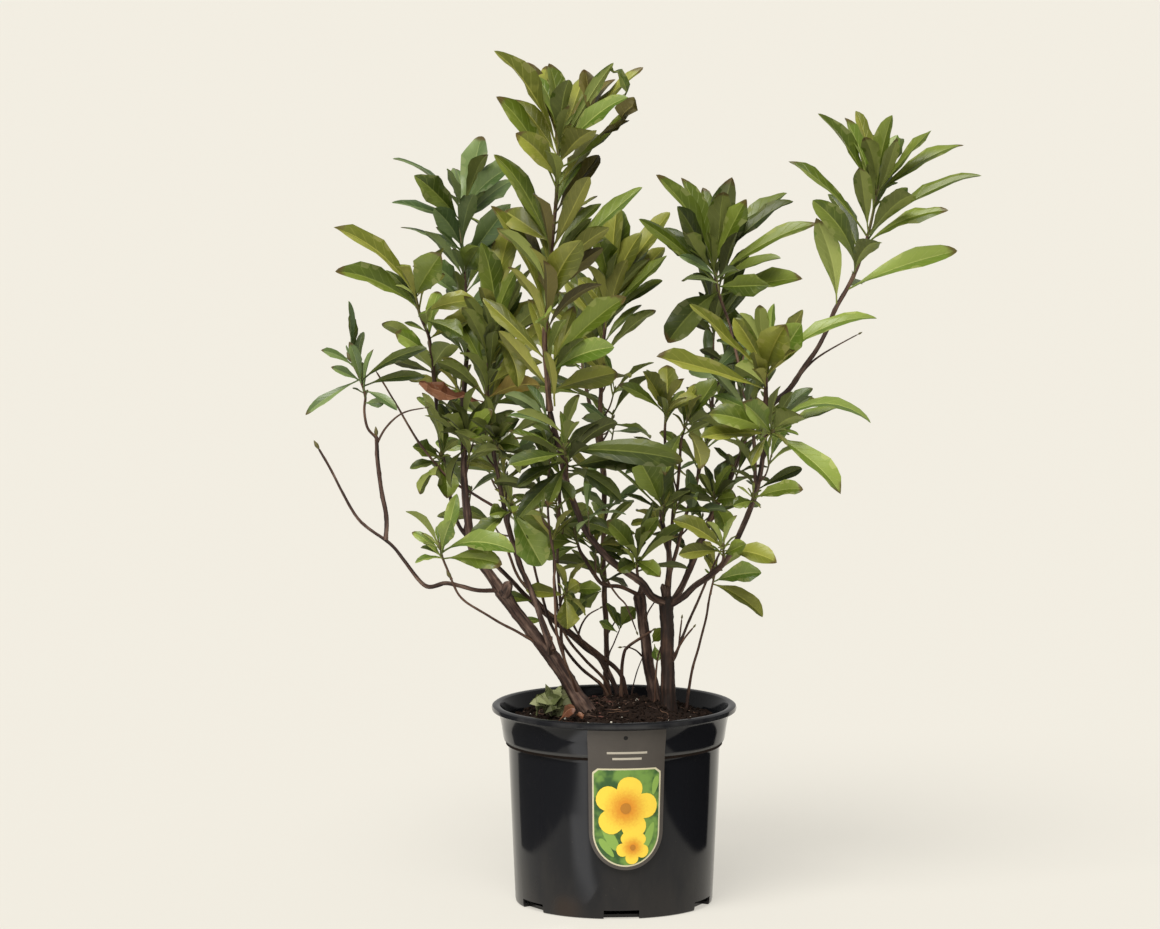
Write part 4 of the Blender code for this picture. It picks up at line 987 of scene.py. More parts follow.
trunks = Heap("trunks", old_bark, dark_bark, reads="bark")
boughs = Heap("boughs", old_bark, young_bark, reads="bark")
fine_stems = Heap("fine_stems", old_bark, young_bark, reads="bark")
rng = random.Random(12)
for name, (carrier, foot_radius, tip_radius, _) in LIMBS.items():
    path = [roots[name]] + limb_paths[name][0 if carrier is None else 2:]
    if carrier and foot_radius < 2.7:
        path[0] = slanted(carrier, *path[:2])
    if carrier is None and foot_radius > 5:
        heap, sides, rough, kind = trunks, 32, 0.2, int(name == "trunk_right")
    elif foot_radius > 2.7:
        heap, sides, rough, kind = boughs, 18, 0.17, int(name == "stem_back")
    else:
        heap, sides, rough, kind = fine_stems, 12, 0.12, 1
    slim = SLIM.get(name, 0.88)
    bark_tube(heap, name, path, foot_radius * slim, tip_radius * (slim + 0.06), sides, rough,
              kind)
    heap.nodes.append(name)

# %% [markdown]
# A few thin twigs bear no leaves and carry nothing, so they need no solid of their own. They
# are drawn here only, with the cut stubs that pruning left on the old wood and the fine pale
# roots that lie loose on the soil round the stems.

# %% Bare twigs, stubs and roots
BARE_TWIGS = {                 # foot and tip radius, points
    "twig_right_dark": (1.5, 1.0, [(50, -6, 228), (58, 0, 234), (65, 8, 251), (75, 16, 273),
                                   (86, 18, 297), (100, 14, 330)]),
    "stem_small": (2.0, 1.2, [(7, 12, 186), (7, 10, 204), (9, 2, 233), (13, 0, 241),
                              (25, -6, 250), (36, -10, 258)]),
    "stem_cross_upper": (2.2, 1.3, [(12, 40, 186), (6, 40, 209), (-13, 38, 227), (-35, 34, 245),
                                    (-53, 30, 262), (-67, 26, 275), (-88, 20, 301),
                                    (-100, 16, 330)]),
    "stem_low_left": (1.7, 1.1, [(-4, 24, 186), (-13, 20, 202), (-32, 14, 219), (-48, 8, 241),
                                 (-62, 2, 269), (-69, 0, 294), (-78, -2, 330)]),
    "stem_low_middle": (1.5, 1.0, [(-2, 32, 186), (-9, 28, 205), (-27, 24, 224), (-41, 20, 241),
                                   (-51, 16, 264), (-55, 12, 293), (-58, 10, 340)]),
    "twig_fan": (1.1, 0.6, [(-34, 34, 244), (-31, 26, 256), (-24, 18, 268), (-13, 10, 276)]),
    "twig_between": (1.2, 0.7, [(38, 4, 186), (39, 2, 207), (41, 0, 228), (44, -4, 243)]),
    "twig_stub_right": (1.2, 0.8, [(51, -12, 228), (59, -16, 240), (66, -20, 252),
                                   (74, -24, 263)]),
    "twig_stub_upper": (1.0, 0.7, [(51, -12, 222), (58, -14, 235), (61, -18, 252),
                                   (63, -22, 271)]),
    "twig_high_right": (1.2, 0.5, [(168, -30, 495), (183, -24, 512), (204, -26, 526),
                                   (226, -28, 538)]),
    "twig_back": (1.0, 0.6, [(-8, 50, 226), (-8, 54, 239), (-1, 50, 254), (8, 46, 267)]),
    "twig_low_front": (1.1, 0.7, [(-38, 26, 257), (-30, 26, 243), (-21, 26, 230), (-13, 26, 222),
                                  (-6, 26, 206), (-2, 26, 188)]),
    "twig_low_leafy": (0.9, 0.6, [(-8, 32, 200), (-5, 30, 227), (0, 30, 239), (6, 30, 254)]),
    "twig_low_thin": (0.7, 0.5, [(16, 26, 186), (18, 26, 199), (22, 26, 214), (28, 26, 229)]),
    "twig_fork_down": (1.0, 0.6, [(-6, -6, 304), (-2, -6, 297), (4, -6, 289), (12, -6, 280),
                                  (21, -6, 256)]),
    "twig_fork_side": (0.9, 0.6, [(29, 12, 262), (31, 6, 271), (35, 6, 278), (40, 6, 285)]),
    "twig_fork_low": (0.9, 0.6, [(26, 14, 230), (20, 4, 237), (12, 4, 240), (7, 2, 240)]),
    "twig_left_long": (1.4, 0.8, [(-104, -24, 372), (-128, -24, 386), (-150, -28, 400),
                                  (-168, -32, 420), (-185, -38, 444), (-198, -44, 468),
                                  (-212, -50, 492), (-220, -54, 506)]),
    "twig_left_side": (1.1, 0.6, [(-219, -54, 440), (-212, -50, 452), (-202, -46, 462),
                                  (-190, -44, 468), (-175, -44, 471)]),
}
STUBS = (                      # radius, foot, tip
    (5.0, (-102, -40, 296), (-97, -46, 309)),
    (3.0, (-106, -38, 300), (-118, -30, 312)),
    (2.6, (-64, -32, 243), (-58, -36, 256)),
    (3.4, (49, -5, 286), (45, -4, 301)),
    (2.8, (24, 11, 286), (27, 9, 300)),
)
rng = random.Random(77)
for k in range(26):
    here = Vector((rng.gauss(0, 34), rng.gauss(-16, 28), 0))
    turn = rng.uniform(0, math.tau)
    path = []
    for _ in range(5):
        turn += rng.uniform(-0.9, 0.9)
        here += Vector((math.cos(turn), math.sin(turn), 0)) * rng.uniform(4, 8)
        if here.xy.length < 94:
            rise = crumbly_height(here.x, here.y) + rng.uniform(0.3, 2.2)
            path.append(Vector((here.x, here.y, rise)))
    if len(path) > 2:
        bark_tube(fine_stems, "loose_root", path, 0.5, 0.3, 5, 0.1, 1)
for name, (foot_radius, tip_radius, given) in BARE_TWIGS.items():
    bark_tube(fine_stems, name, [Vector(p) for p in given],
              foot_radius, tip_radius, 10, 0.12, 1)
for radius, foot, tip in STUBS:
    foot, tip = Vector(foot), Vector(tip)
    middle = foot.lerp(tip, 0.5) + Vector((0.6, 0, 0.4))
    bark_tube(boughs, "stub", [foot, middle, tip], radius, radius * 0.85, 14, 0.2)
for heap in (trunks, boughs, fine_stems):
    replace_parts(heap.build("bark", 60), *heap.nodes)

# %% [markdown]
# ## The shoots and their leaves
# Each mass of foliage is one shoot: a twig with a path of its own, the leaves that give it
# its outline, and a rule for the leaves between them. A leaf is (rise, side, up, front,
# width, face, bend): how far up its twig it stands (0 to 1), how far its tip is to the
# right, above and in front of its foot, its width, how squarely its upper side faces the
# front in degrees (minus shows the underside), and how many degrees its rib turns. The last
# entry is the rule's count, leaf length and share of the sideways spread.

# %% Table of masses
MASSES = {
    "top": ("bough_centre", 2.6, 1.2, [
        (-62, -80, 494), (-64, -84, 533), (-61, -90, 575), (-58, -95, 617),
        (-54, -100, 663), (-52, -104, 704), (-51, -105, 724)], [
        (.95, -56, 93, 10, 30, 30, 30), (.82, -52, 85, 15, 30, 35, 30),
        (.98, -30, 73, -35, 26, 30, 10), (1.0, -10, 64, -45, 28, 50, 0),
        (.98, 8, 60, 30, 24, -50, 10), (.97, 24, 65, -50, 28, 50, 20),
        (.95, 50, 67, -20, 26, 35, 20), (.93, 61, 57, 15, 24, 45, 15),
        (.95, 49, 82, 5, 14, -70, -20), (.95, 78, 75, -15, 20, 20, 20),
        (.89, 66, 54, 0, 18, 30, -45), (.90, 31, 35, 60, 30, -60, 30),
        (.73, 40, 50, -40, 26, 45, 10), (.82, 36, 47, -60, 24, 40, 10),
        (.59, -49, 91, 25, 30, 42, 15), (.35, -51, 102, -10, 26, 35, 10),
        (.50, 84, 82, 0, 26, 30, 15), (.37, 31, 69, 40, 32, 75, 10),
        (.40, 50, 58, -45, 28, 50, 10), (.69, 40, 24, -20, 14, 10, 15),
        (.65, 35, 22, -50, 20, 40, 10), (.17, 70, 66, 20, 28, 50, 10),
        (.14, 59, 29, 45, 26, 50, 20), (.08, 60, 12, -40, 28, 50, 10)],
        (9, 72, 0.5)),
    "upper_left": ("leader_left", 2.1, 1.2, [
        (-137, 6, 522), (-138, 12, 543), (-140, 22, 579), (-142, 32, 611), (-144, 38, 628),
        (-142, 42, 647)], [
        (1.0, -63, 52, 10, 26, 8, 35), (.92, -41, 46, 35, 30, 60, 10),
        (.92, -64, 21, 20, 22, 25, 15), (.72, -26, 41, 30, 26, 55, 10),
        (1.0, -13, 43, 35, 14, -50, 10), (1.0, -7, 38, -50, 24, 60, 10),
        (.98, 17, 72, -35, 28, 70, 10), (.98, 37, 52, -30, 22, 25, 20),
        (.98, 47, 46, 25, 26, 40, 25), (.72, -57, 23, 0, 18, 12, 5),
        (.70, -24, 25, 15, 12, 40, -20), (.98, 38, -45, 30, 20, 25, 60),
        (.65, 30, 20, 40, 26, 60, 15), (.55, 15, 28, 50, 28, 70, 10),
        (.15, 12, 22, 30, 22, -70, 10), (.40, -30, 30, 25, 26, 50, 20),
        (.30, 35, 10, 25, 26, 50, 25)],
        (9, 68, 0.6)),
    "left_top": ("stem_cross", 1.9, 1.1, [
        (-167, -11, 491), (-169, -16, 511), (-173, -22, 537), (-180, -28, 556),
        (-184, -32, 574)], [
        (.98, -75, 66, 10, 28, 35, 30), (.86, -75, 37, 20, 28, 45, 15),
        (1.0, 25, 42, 40, 34, 75, 20), (1.0, -18, 28, -30, 18, 30, 10),
        (.98, 26, 24, 20, 24, -50, 10), (.80, 52, 13, 0, 24, 50, 20),
        (.72, 38, -13, 20, 24, 50, 30), (.20, 18, 27, 45, 28, -75, 10),
        (.15, -16, 22, 30, 18, -60, 10), (.50, 50, 20, -25, 26, 50, 20)],
        (7, 62, 0.5)),
    "left_tip": ("bough_left_upright", 1.2, 0.9, [
        (-222, -58, 444), (-228, -58, 454), (-231, -58, 469), (-230, -58, 483),
        (-233, -57, 493), (-237, -56, 504), (-243, -55, 516)], [
        (1.0, -1, 56, 10, 12, 30, 5), (.92, -30, 16, 10, 18, 35, 20),
        (.75, -50, -31, 10, 16, 50, 35), (.74, -26, 14, 15, 14, 50, 15),
        (.60, 8, 40, 5, 10, 40, 10), (.85, 64, 38, 10, 20, 40, 45),
        (.72, 62, 34, 25, 20, 45, 35), (.66, 58, 12, 20, 16, 60, 15),
        (.70, -9, 40, 18, 16, 60, 10), (.62, 32, -16, 20, 14, 50, 25),
        (.46, 18, 1, 8, 14, 80, 10)],
        (3, 45, 0.5)),
    "inner_left": ("stem_inner_left", 1.9, 1.2, [
        (-117, -24, 464), (-118, -26, 478), (-118, -28, 500), (-115, -30, 521),
        (-112, -32, 538)], [
        (.55, 30, 100, 10, 26, 30, 25), (.80, 36, 77, 30, 22, -30, 10),
        (1.0, -11, 85, -20, 28, 65, 5), (.50, 47, 69, -25, 30, 60, 10),
        (.35, 50, 26, 25, 22, 40, 15), (.20, 49, 18, 45, 28, -70, 20),
        (.15, -64, 17, 14, 24, 45, -20), (.12, 54, -3, -30, 26, 50, 20),
        (.95, 24, -40, 30, 24, 60, 60)],
        (6, 66, 0.5)),
    "back_middle": ("stem_back", 2.0, 1.2, [
        (-12, 83, 495), (-10, 88, 516), (-8, 94, 538), (-5, 98, 554), (-4, 100, 571)], [
        (.98, 12, 73, -20, 34, 80, 5), (.96, -13, 55, 20, 28, 60, 10),
        (.94, 30, 57, 10, 28, 60, 10), (.90, 58, 78, -10, 26, 45, 10),
        (.70, 57, 54, 10, 20, 40, 10), (.70, -27, 31, -10, 24, 50, 10),
        (.30, 38, 22, -30, 26, 50, 20), (.20, -34, 26, 20, 26, 50, 20)],
        (9, 70, 0.5)),
    "right_middle": ("stem_high_right", 1.3, 1.0, [
        (102, 56, 560), (99, 60, 566), (96, 64, 577), (94, 68, 592)], [
        (.90, -56, 92, 20, 26, 35, 35), (.90, -29, 88, -20, 28, 45, 10),
        (.85, -34, 66, 35, 26, 45, 5), (.90, -27, 44, 55, 22, -50, 5),
        (.95, -9, 75, -30, 22, 50, 5), (1.0, 17, 82, -35, 30, -75, 5),
        (1.0, 30, 66, 25, 26, 50, 5), (.95, 73, 66, -10, 24, 35, 25),
        (.95, 70, 70, -40, 22, 30, 25), (.70, 95, 55, 10, 22, 35, 30),
        (.60, 60, 26, 25, 18, 30, 20), (.50, 47, 5, 40, 26, 70, 10),
        (.25, 77, 19, 20, 26, 45, -15), (.60, -73, 62, 25, 26, 35, 5),
        (.35, -48, -45, 30, 34, 70, 60)],
        (6, 70, 0.5)),
    "middle_back": ("stem_back_right", 1.4, 1.0, [
        (94, 91, 514), (95, 96, 524), (96, 100, 539)], [
        (.50, -25, 22, 10, 24, -60, 10), (.70, -8, 34, 0, 16, 60, 10)],
        (8, 72, 0.6)),
    "high_right": ("bough_high_right", 2.1, 1.1, [
        (200, -21, 547), (205, -20, 561), (216, -17, 580), (226, -14, 601), (235, -10, 628),
        (240, -8, 650), (243, -6, 666)], [
        (.93, -53, 85, 15, 26, 35, 20), (.95, -28, 77, -10, 26, 40, 20),
        (.97, -16, 80, -35, 24, 45, 15), (.98, 0, 56, -50, 26, 70, 5),
        (.98, 2, 62, -25, 18, 50, -30), (.98, 16, 57, 35, 26, -50, 10),
        (1.0, 21, 53, -30, 26, 50, 5), (1.0, 49, 60, 10, 20, 25, 5),
        (1.0, 80, 48, -10, 26, 35, 15), (.70, 103, 58, 10, 24, 30, 30),
        (.69, 38, 44, 45, 32, -60, 25), (.62, 76, 35, 20, 22, 40, 45),
        (.69, -72, 71, -5, 24, 30, 35), (.43, -42, 68, 30, 30, 60, 50),
        (.14, -20, 84, 25, 28, -75, 0), (.28, 103, 36, 0, 28, 45, 25)],
        (9, 76, 0.45)),
    "right_crown": ("bough_right", 2.3, 1.2, [
        (140, -38, 478), (140, -39, 487), (140, -40, 498), (142, -42, 513)], [
        (.75, 16, 49, 50, 36, 75, 15), (.70, 30, 49, 30, 34, 60, -5),
        (.95, -10, 34, -40, 26, 60, 10), (.70, -30, 52, -20, 28, 60, -10),
        (.65, -70, 70, 15, 22, 30, -10), (.60, -72, 39, -5, 18, 20, 15),
        (.40, -29, 20, 10, 24, -70, 15), (.55, 101, 59, 20, 20, 40, 75),
        (.35, -12, 36, 40, 20, -50, 10), (.30, -102, 33, 25, 26, 45, 20)],
        (7, 66, 0.5)),
    "right_side": ("bough_right", 1.4, 1.1, [
        (141, -40, 448), (143, -47, 447), (145, -56, 450)], [
        (.80, 92, 9, 5, 26, 45, 60), (.70, 64, 23, -15, 18, 20, 10),
        (.90, 26, 20, 30, 30, -60, 20), (.55, 83, -13, 10, 22, 15, 30),
        (.60, 65, -52, 25, 28, 50, 40), (.75, 25, 0, 20, 8, 20, 30),
        (.95, -57, 20, 20, 28, 60, 50), (.85, -27, 33, 45, 26, 60, 10),
        (.70, -65, 0, 25, 22, 40, 5), (.60, -18, -28, 15, 14, 50, 20)],
        (3, 55, 0.5)),
    "centre_right": ("bough_right_inner", 1.4, 1.0, [
        (47, 0, 424), (47, -4, 438), (48, -10, 463)], [
        (.98, 1, 43, -30, 24, 75, 5), (.96, -44, 29, 10, 20, 40, 30),
        (.96, 32, 15, -10, 20, 40, 20), (.70, 23, 12, 25, 16, 50, 15)],
        (6, 58, 0.6)),
    "red_tip": ("bough_red", 1.3, 1.0, [
        (63, 2, 433), (64, 0, 441), (68, -4, 455)], [
        (.90, 28, 39, -15, 26, 60, 10), (.60, -18, -40, 25, 24, 50, 30),
        (.75, 15, -38, 20, 22, -50, 30), (.80, -24, -8, 30, 22, 55, 20)],
        (5, 56, 0.6)),
    "centre": ("bough_centre", 1.6, 1.2, [
        (-45, -68, 414), (-44, -80, 422), (-46, -94, 438)], [
        (.95, 108, -7, 15, 30, 60, 45), (.35, 84, 19, 25, 34, 70, 30),
        (.30, 46, -8, 30, 26, 65, 15), (.85, -52, -8, 20, 22, 45, 20),
        (.90, -52, 18, -10, 14, 10, 10), (.60, -45, -22, 15, 18, 40, 20),
        (.50, -17, -36, 20, 16, 60, 20), (.40, -45, -45, 20, 20, 60, 15),
        (.45, 50, -32, 5, 20, 60, 25)],
        (3, 50, 0.5)),
    "left_low": ("twig_left_low", 1.1, 0.9, [
        (-153, -65, 318), (-156, -66, 326), (-159, -68, 335), (-161, -69, 343)], [
        (.90, 42, 74, 25, 34, 65, 25), (.85, 68, 6, 35, 26, 50, 60),
        (.70, -25, -3, 10, 10, 30, 10), (.75, -20, 6, -15, 10, 30, 10),
        (.65, 55, 0, 45, 24, 70, 20)],
        (3, 55, 0.5)),
    "left_inner_low": ("stem_inner_left", 1.3, 1.0, [
        (-100, -26, 366), (-97, -34, 371), (-96, -42, 378)], [
        (.90, 29, -51, 15, 36, 80, 30), (.80, 35, -33, 0, 30, 60, 50),
        (.60, -19, 0, 15, 18, 50, 10), (.70, -34, -28, 25, 24, 50, 40)],
        (3, 46, 0.5)),
    "front_top": ("stem_fine", 1.1, 0.9, [
        (-62, -66, 399), (-61, -66, 410), (-60, -66, 426)], [
        (.95, -5, 28, -10, 20, 70, 10), (.50, 23, -22, 20, 16, 50, 20),
        (.80, -14, 32, 15, 16, 50, 10)],
        (3, 42, 0.5)),
    "front_stem": ("stem_front", 1.4, 1.0, [
        (-51, -23, 384), (-50, -24, 396), (-48, -24, 412)], [
        (.60, -30, 20, 10, 18, 50, 20)],
        (4, 50, 0.6)),
    "low_middle": ("stem_front", 1.2, 0.9, [
        (-50, -11, 287), (-47, -17, 291), (-44, -23, 297)], [
        (.70, 2, -31, 12, 26, 70, 30), (.85, 33, 6, 20, 16, 60, 20),
        (.90, 12, 12, 25, 18, 60, 10), (.60, -36, 6, 10, 18, 60, 20)],
        (3, 42, 0.6)),
    "low_left": ("bough_middle_left", 1.5, 1.0, [
        (-30, -4, 329), (-34, -6, 337), (-36, -8, 347)], [
        (.60, -34, 6, 20, 22, 55, 10), (.50, -32, -12, 10, 16, 50, 10),
        (.80, 30, 16, 15, 18, 50, 20)],
        (3, 48, 0.6)),
    "heart": ("bough_centre", 1.3, 1.0, [
        (20, -27, 314), (20, -28, 321), (21, -30, 332)], [
        (.95, -71, 28, 0, 22, 40, 75), (1.0, 20, 37, 15, 18, 50, 10),
        (.95, -28, 37, 30, 22, 60, 20), (.85, -32, 10, -20, 18, 40, 10),
        (.60, -18, -5, 20, 18, 60, 20), (.65, 22, -11, 25, 18, 60, 30)],
        (3, 44, 0.6)),
    "heart_upper": ("bough_right_inner", 1.3, 1.0, [
        (44, 4, 365), (43, -3, 367), (45, -12, 373)], [
        (.95, -24, 53, 25, 32, 75, 5), (.80, -36, 16, 5, 14, 20, 10),
        (.85, -3, 56, -8, 26, 60, 5), (.90, -47, 41, -15, 14, 10, 10)],
        (3, 46, 0.5)),
    "right_low": ("bough_right", 1.2, 1.0, [
        (102, -29, 325), (101, -35, 331), (101, -41, 339)], [
        (.95, -46, 30, 15, 22, 50, 45), (.80, -42, 0, 20, 18, 60, 20),
        (.85, 49, -8, 20, 24, 60, 20), (.60, 20, 14, 25, 18, 50, 20)],
        (3, 44, 0.6)),
    "red_stem": ("stem_red", 1.0, 0.8, [
        (91, 20, 292), (93, 20, 299), (95, 20, 308)], [
        (.50, 45, 11, 15, 24, 55, 20), (.40, 47, -30, 10, 20, 50, 30)],
        (3, 46, 0.6)),
    "right_back": ("bough_back_right", 1.4, 1.0, [
        (95, 40, 363), (93, 30, 368), (93, 24, 378)], [
        (.70, -29, 15, 15, 20, 50, 20), (.60, 12, -22, 25, 22, 70, 30),
        (.80, 18, 37, 10, 14, 50, 10)],
        (3, 46, 0.6)),
    "back_right": ("bough_back_right", 2.2, 1.2, [
        (117, 55, 410), (122, 78, 418), (126, 108, 432), (124, 138, 450), (120, 160, 476)], [
        (.20, -38, -14, -10, 26, -50, 20), (.18, -22, -32, 15, 24, 60, 20)],
        (14, 80, 0.6)),
    "right_mid": ("bough_right", 1.3, 1.0, [
        (128, -37, 380), (128, -44, 383), (128, -51, 389)], [
        (.80, 45, 12, 20, 20, 50, 15), (.60, -18, -2, 15, 16, 50, 10)],
        (3, 44, 0.6)),
    "leader": ("leader_left", 1.5, 1.0, [
        (-140, -18, 430), (-139, -26, 435), (-137, -34, 444)], [
        (.70, 24, 30, 20, 22, 60, 20), (.90, -12, 36, 15, 22, -50, 10)],
        (6, 56, 0.7)),
    "inner_mid": ("stem_inner_left", 1.4, 1.0, [
        (-112, -26, 427), (-110, -34, 432), (-108, -42, 442)], [
        (.80, 20, 24, 20, 16, 40, 10), (.70, 22, 0, 25, 20, 60, 20)],
        (5, 52, 0.7)),
    "cross": ("stem_cross", 1.4, 1.0, [
        (-158, -3, 412), (-160, -11, 416), (-161, -19, 423)], [
        (.70, -26, 15, 15, 20, 50, 15), (.60, -30, -6, 10, 14, 40, 20)],
        (5, 50, 0.6)),
    "back_left": ("bough_back_left", 1.9, 1.2, [
        (-112, 147, 406), (-116, 160, 422), (-120, 178, 446), (-118, 190, 474)], [],
        (15, 82, 0.55)),
    "back_top": ("bough_back_middle", 1.8, 1.2, [
        (-21, 147, 448), (-25, 166, 462), (-29, 182, 486), (-28, 190, 516)], [],
        (15, 82, 0.6)),
}

# %% [markdown]
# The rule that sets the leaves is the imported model's own, in the same order and with the same
# seed, so each leaf stands where its solid does. A leaf is tried where it is asked for, then
# nearer or further away, and it stays out if it would run through a stem or another leaf.

# %% Clearance between leaves
MARGIN = 0.5                   # air kept round a leaf or twig
BLADE_ROWS = (0.22, 0.66)      # sections of the part that stays off other blades
SHIFTS = (0, 8, -8, 16, -16, 24, -24, 34, -34, 44, -44)
GOLDEN = math.radians(137.5)


class Placed:
    """What already stands in the shrub, to keep new pieces clear of it."""

    def __init__(self):
        self.pieces = []

    def measured(self, corners, faces):
        return ([min(v[i] for v in corners) for i in range(3)],
                [max(v[i] for v in corners) for i in range(3)],
                BVHTree.FromPolygons(corners, faces))

    def add(self, owner, corners, faces):
        self.pieces.append((owner, *self.measured(corners, faces)))

    def touches(self, owner, corners, faces):
        low, high, tree = self.measured(corners, faces)
        return any(other != owner
                   and all(low[i] <= upper[i] and high[i] >= lower[i] for i in range(3))
                   and tree.overlap(standing) for other, lower, upper, standing in self.pieces)


def leaf_frame(reach, face):
    """The leaf's length, its direction and the direction that its upper side faces."""
    length = reach.length
    chord = reach / length
    front = Vector((0, -1, 0))
    ahead = front - chord * front.dot(chord)
    if ahead.length < 0.05:
        ahead = Vector((0, 0, 1)) - chord * chord.z
    ahead.normalize()
    across = chord.cross(ahead)
    if across.z < 0:
        across.negate()
    turn = math.radians(face)
    return length, chord, ahead * math.sin(turn) + across * math.cos(turn)


def rib_point(foot, length, chord, upper, bend, t):
    """A point on the leaf's rib, an arc that bulges to its upper side, and its direction."""
    turn = math.radians(bend) if abs(bend) > 1 else math.radians(1)
    a = turn * (t - 0.5)
    size = length / (2 * math.sin(turn / 2))
    point = foot + chord * size * (math.sin(a) + math.sin(turn / 2))
    point += upper * size * (math.cos(a) - math.cos(turn / 2))
    return point, chord * math.cos(a) - upper * math.sin(a)


def plain_leaf(foot, reach, width, face, bend, margin=0.0, rows=None):
    """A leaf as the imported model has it, three-cornered in section."""
    length, chord, upper = leaf_frame(reach, face)
    rings = []
    for t in rows or ((0.0, 0.26, 0.7) if length > 60 else (0.0, 0.56)):
        centre, ahead = rib_point(foot, length, chord, upper, bend, t)
        side = ahead.cross(upper).normalized()
        above = side.cross(ahead)
        wide = math.sin(math.pi * ((t - 0.12) / 0.88) ** 1.25) ** 0.85 if t > 0.12 else 0
        half = max(width / 2 * wide, 0.7 if t else 0.4) + margin
        lift = half * 0.05 + margin if t else 0.24 + margin
        keel = (0.012 * length if t else 0.4) + margin
        rings.append([centre + side * half + above * lift,
                      centre - side * half + above * lift, centre - above * keel])
    return loft(rings, rib_point(foot, length, chord, upper, bend, 1 + margin / length)[0])


def plain_twig(path, foot_radius, tip_radius, margin=0.0):
    """A three-sided tapering twig."""
    rings = []
    for i, (here, share) in enumerate(zip(path, shares(path))):
        ahead = (path[min(i + 1, len(path) - 1)] - path[max(i - 1, 0)]).normalized()
        side = ahead.cross(Vector((0.31, 0.95, 0.05))).normalized()
        radius = foot_radius + (tip_radius - foot_radius) * share + margin
        rings.append(round_points(here, side, side.cross(ahead), radius, 3, math.pi / 2))
    return loft(rings)


placed, blades = Placed(), Placed()
for name in LIMBS:
    placed.add(name, *limb_skins[name])


def place_leaf(mass, foot, reach, width, face, bend, shifts=SHIFTS):
    """Tries a leaf where it is asked for, then nearer or further; none if all touch."""
    for size in (1.0, 0.85):
        for shift in shifts:
            moved = Vector((reach.x, reach.y - shift, reach.z)) * size
            leaf = (foot, moved, width * size, face, bend)
            if placed.touches(mass, *plain_leaf(*leaf, MARGIN)):
                continue
            if not blades.touches("", *plain_leaf(*leaf, MARGIN, BLADE_ROWS)):
                placed.add(mass, *plain_leaf(*leaf))
                blades.add(mass, *plain_leaf(*leaf, 0, BLADE_ROWS))
                return [leaf]
    return []


def own_leaves(mass, entries):
    """The leaves that are written down for a mass."""
    for rise, side, up, front, width, face, bend in entries:
        foot, _ = at_share(shoots[mass], rise)
        leaves[mass] += place_leaf(mass, foot, Vector((side, -front, up)), width, face, bend)


def leaning(ahead, turn, lean):
    """A direction that leans out of a shoot's by an angle, turned round it."""
    side = ahead.cross(Vector((0, 1, 0.2))).normalized()
    out = side * math.cos(turn) + ahead.cross(side) * math.sin(turn)
    return ahead * math.cos(lean) + out * math.sin(lean)


def dealt_leaf(owner, foot, reach, length, slim, faces, bends):
    """A leaf whose width, face and bend are drawn from ranges, tried in one place."""
    width = length * rng.uniform(*slim)
    face = rng.uniform(*faces) * (-1 if reach.y < 0 else 1)
    return place_leaf(owner, foot, reach, width, face, rng.uniform(*bends), (0,))


shoots = {}
for mass, (carrier, foot_radius, tip_radius, given, _, _) in MASSES.items():
    points = [Vector(p) for p in given]
    foot, way, roots[mass] = seated(carrier, points[0], foot_radius)
    points = [foot + way * 3.0] + [p for p in points[1:] if (p - foot).length > 5]
    shoots[mass] = [foot] + smooth_path(points, 1 if len(points) > 3 else 2)
    placed.add(mass, *plain_twig(shoots[mass], foot_radius, tip_radius, MARGIN))
leaves = {mass: [] for mass in MASSES}
for mass in MASSES:
    own_leaves(mass, MASSES[mass][4])
rng = random.Random(29)
for mass, path in shoots.items():
    # Leaves by rule stand mostly to the front and back, closer at the shoot's tip.
    count, length, spread = MASSES[mass][5]
    turn = rng.uniform(0, math.tau)
    for i in range(count):
        rise = 1 - (1 - 0.18) * (i / count) ** 1.3
        foot, ahead = at_share(path, rise)
        size = length * rng.uniform(0.75, 1.1)
        for attempt in range(8):
            turn += GOLDEN if attempt == 0 else math.radians(47)
            lean = math.radians(38 + 42 * (1 - rise) + rng.uniform(-8, 12))
            reach = leaning(ahead, turn, lean) + Vector((0, 0, 0.12))
            reach.x *= spread
            reach = reach.normalized() * size
            face = rng.uniform(35, 85) * (-1 if reach.y < 0 else 1)
            leaf = place_leaf(mass, foot, reach, size * rng.uniform(0.3, 0.38), face,
                              rng.uniform(10, 45), (0,))
            leaves[mass] += leaf
            if leaf:
                break
print("leaves:", sum(map(len, leaves.values())))

# %% [markdown]
# ## Spurs between the masses
# The inner stems aren't bare. They carry short side shoots, called spurs, with a few
# narrow leaves each, that look for light to the front and the back. A spur leaves its stem
# at a right angle, turns up, and ends in a small whorl.

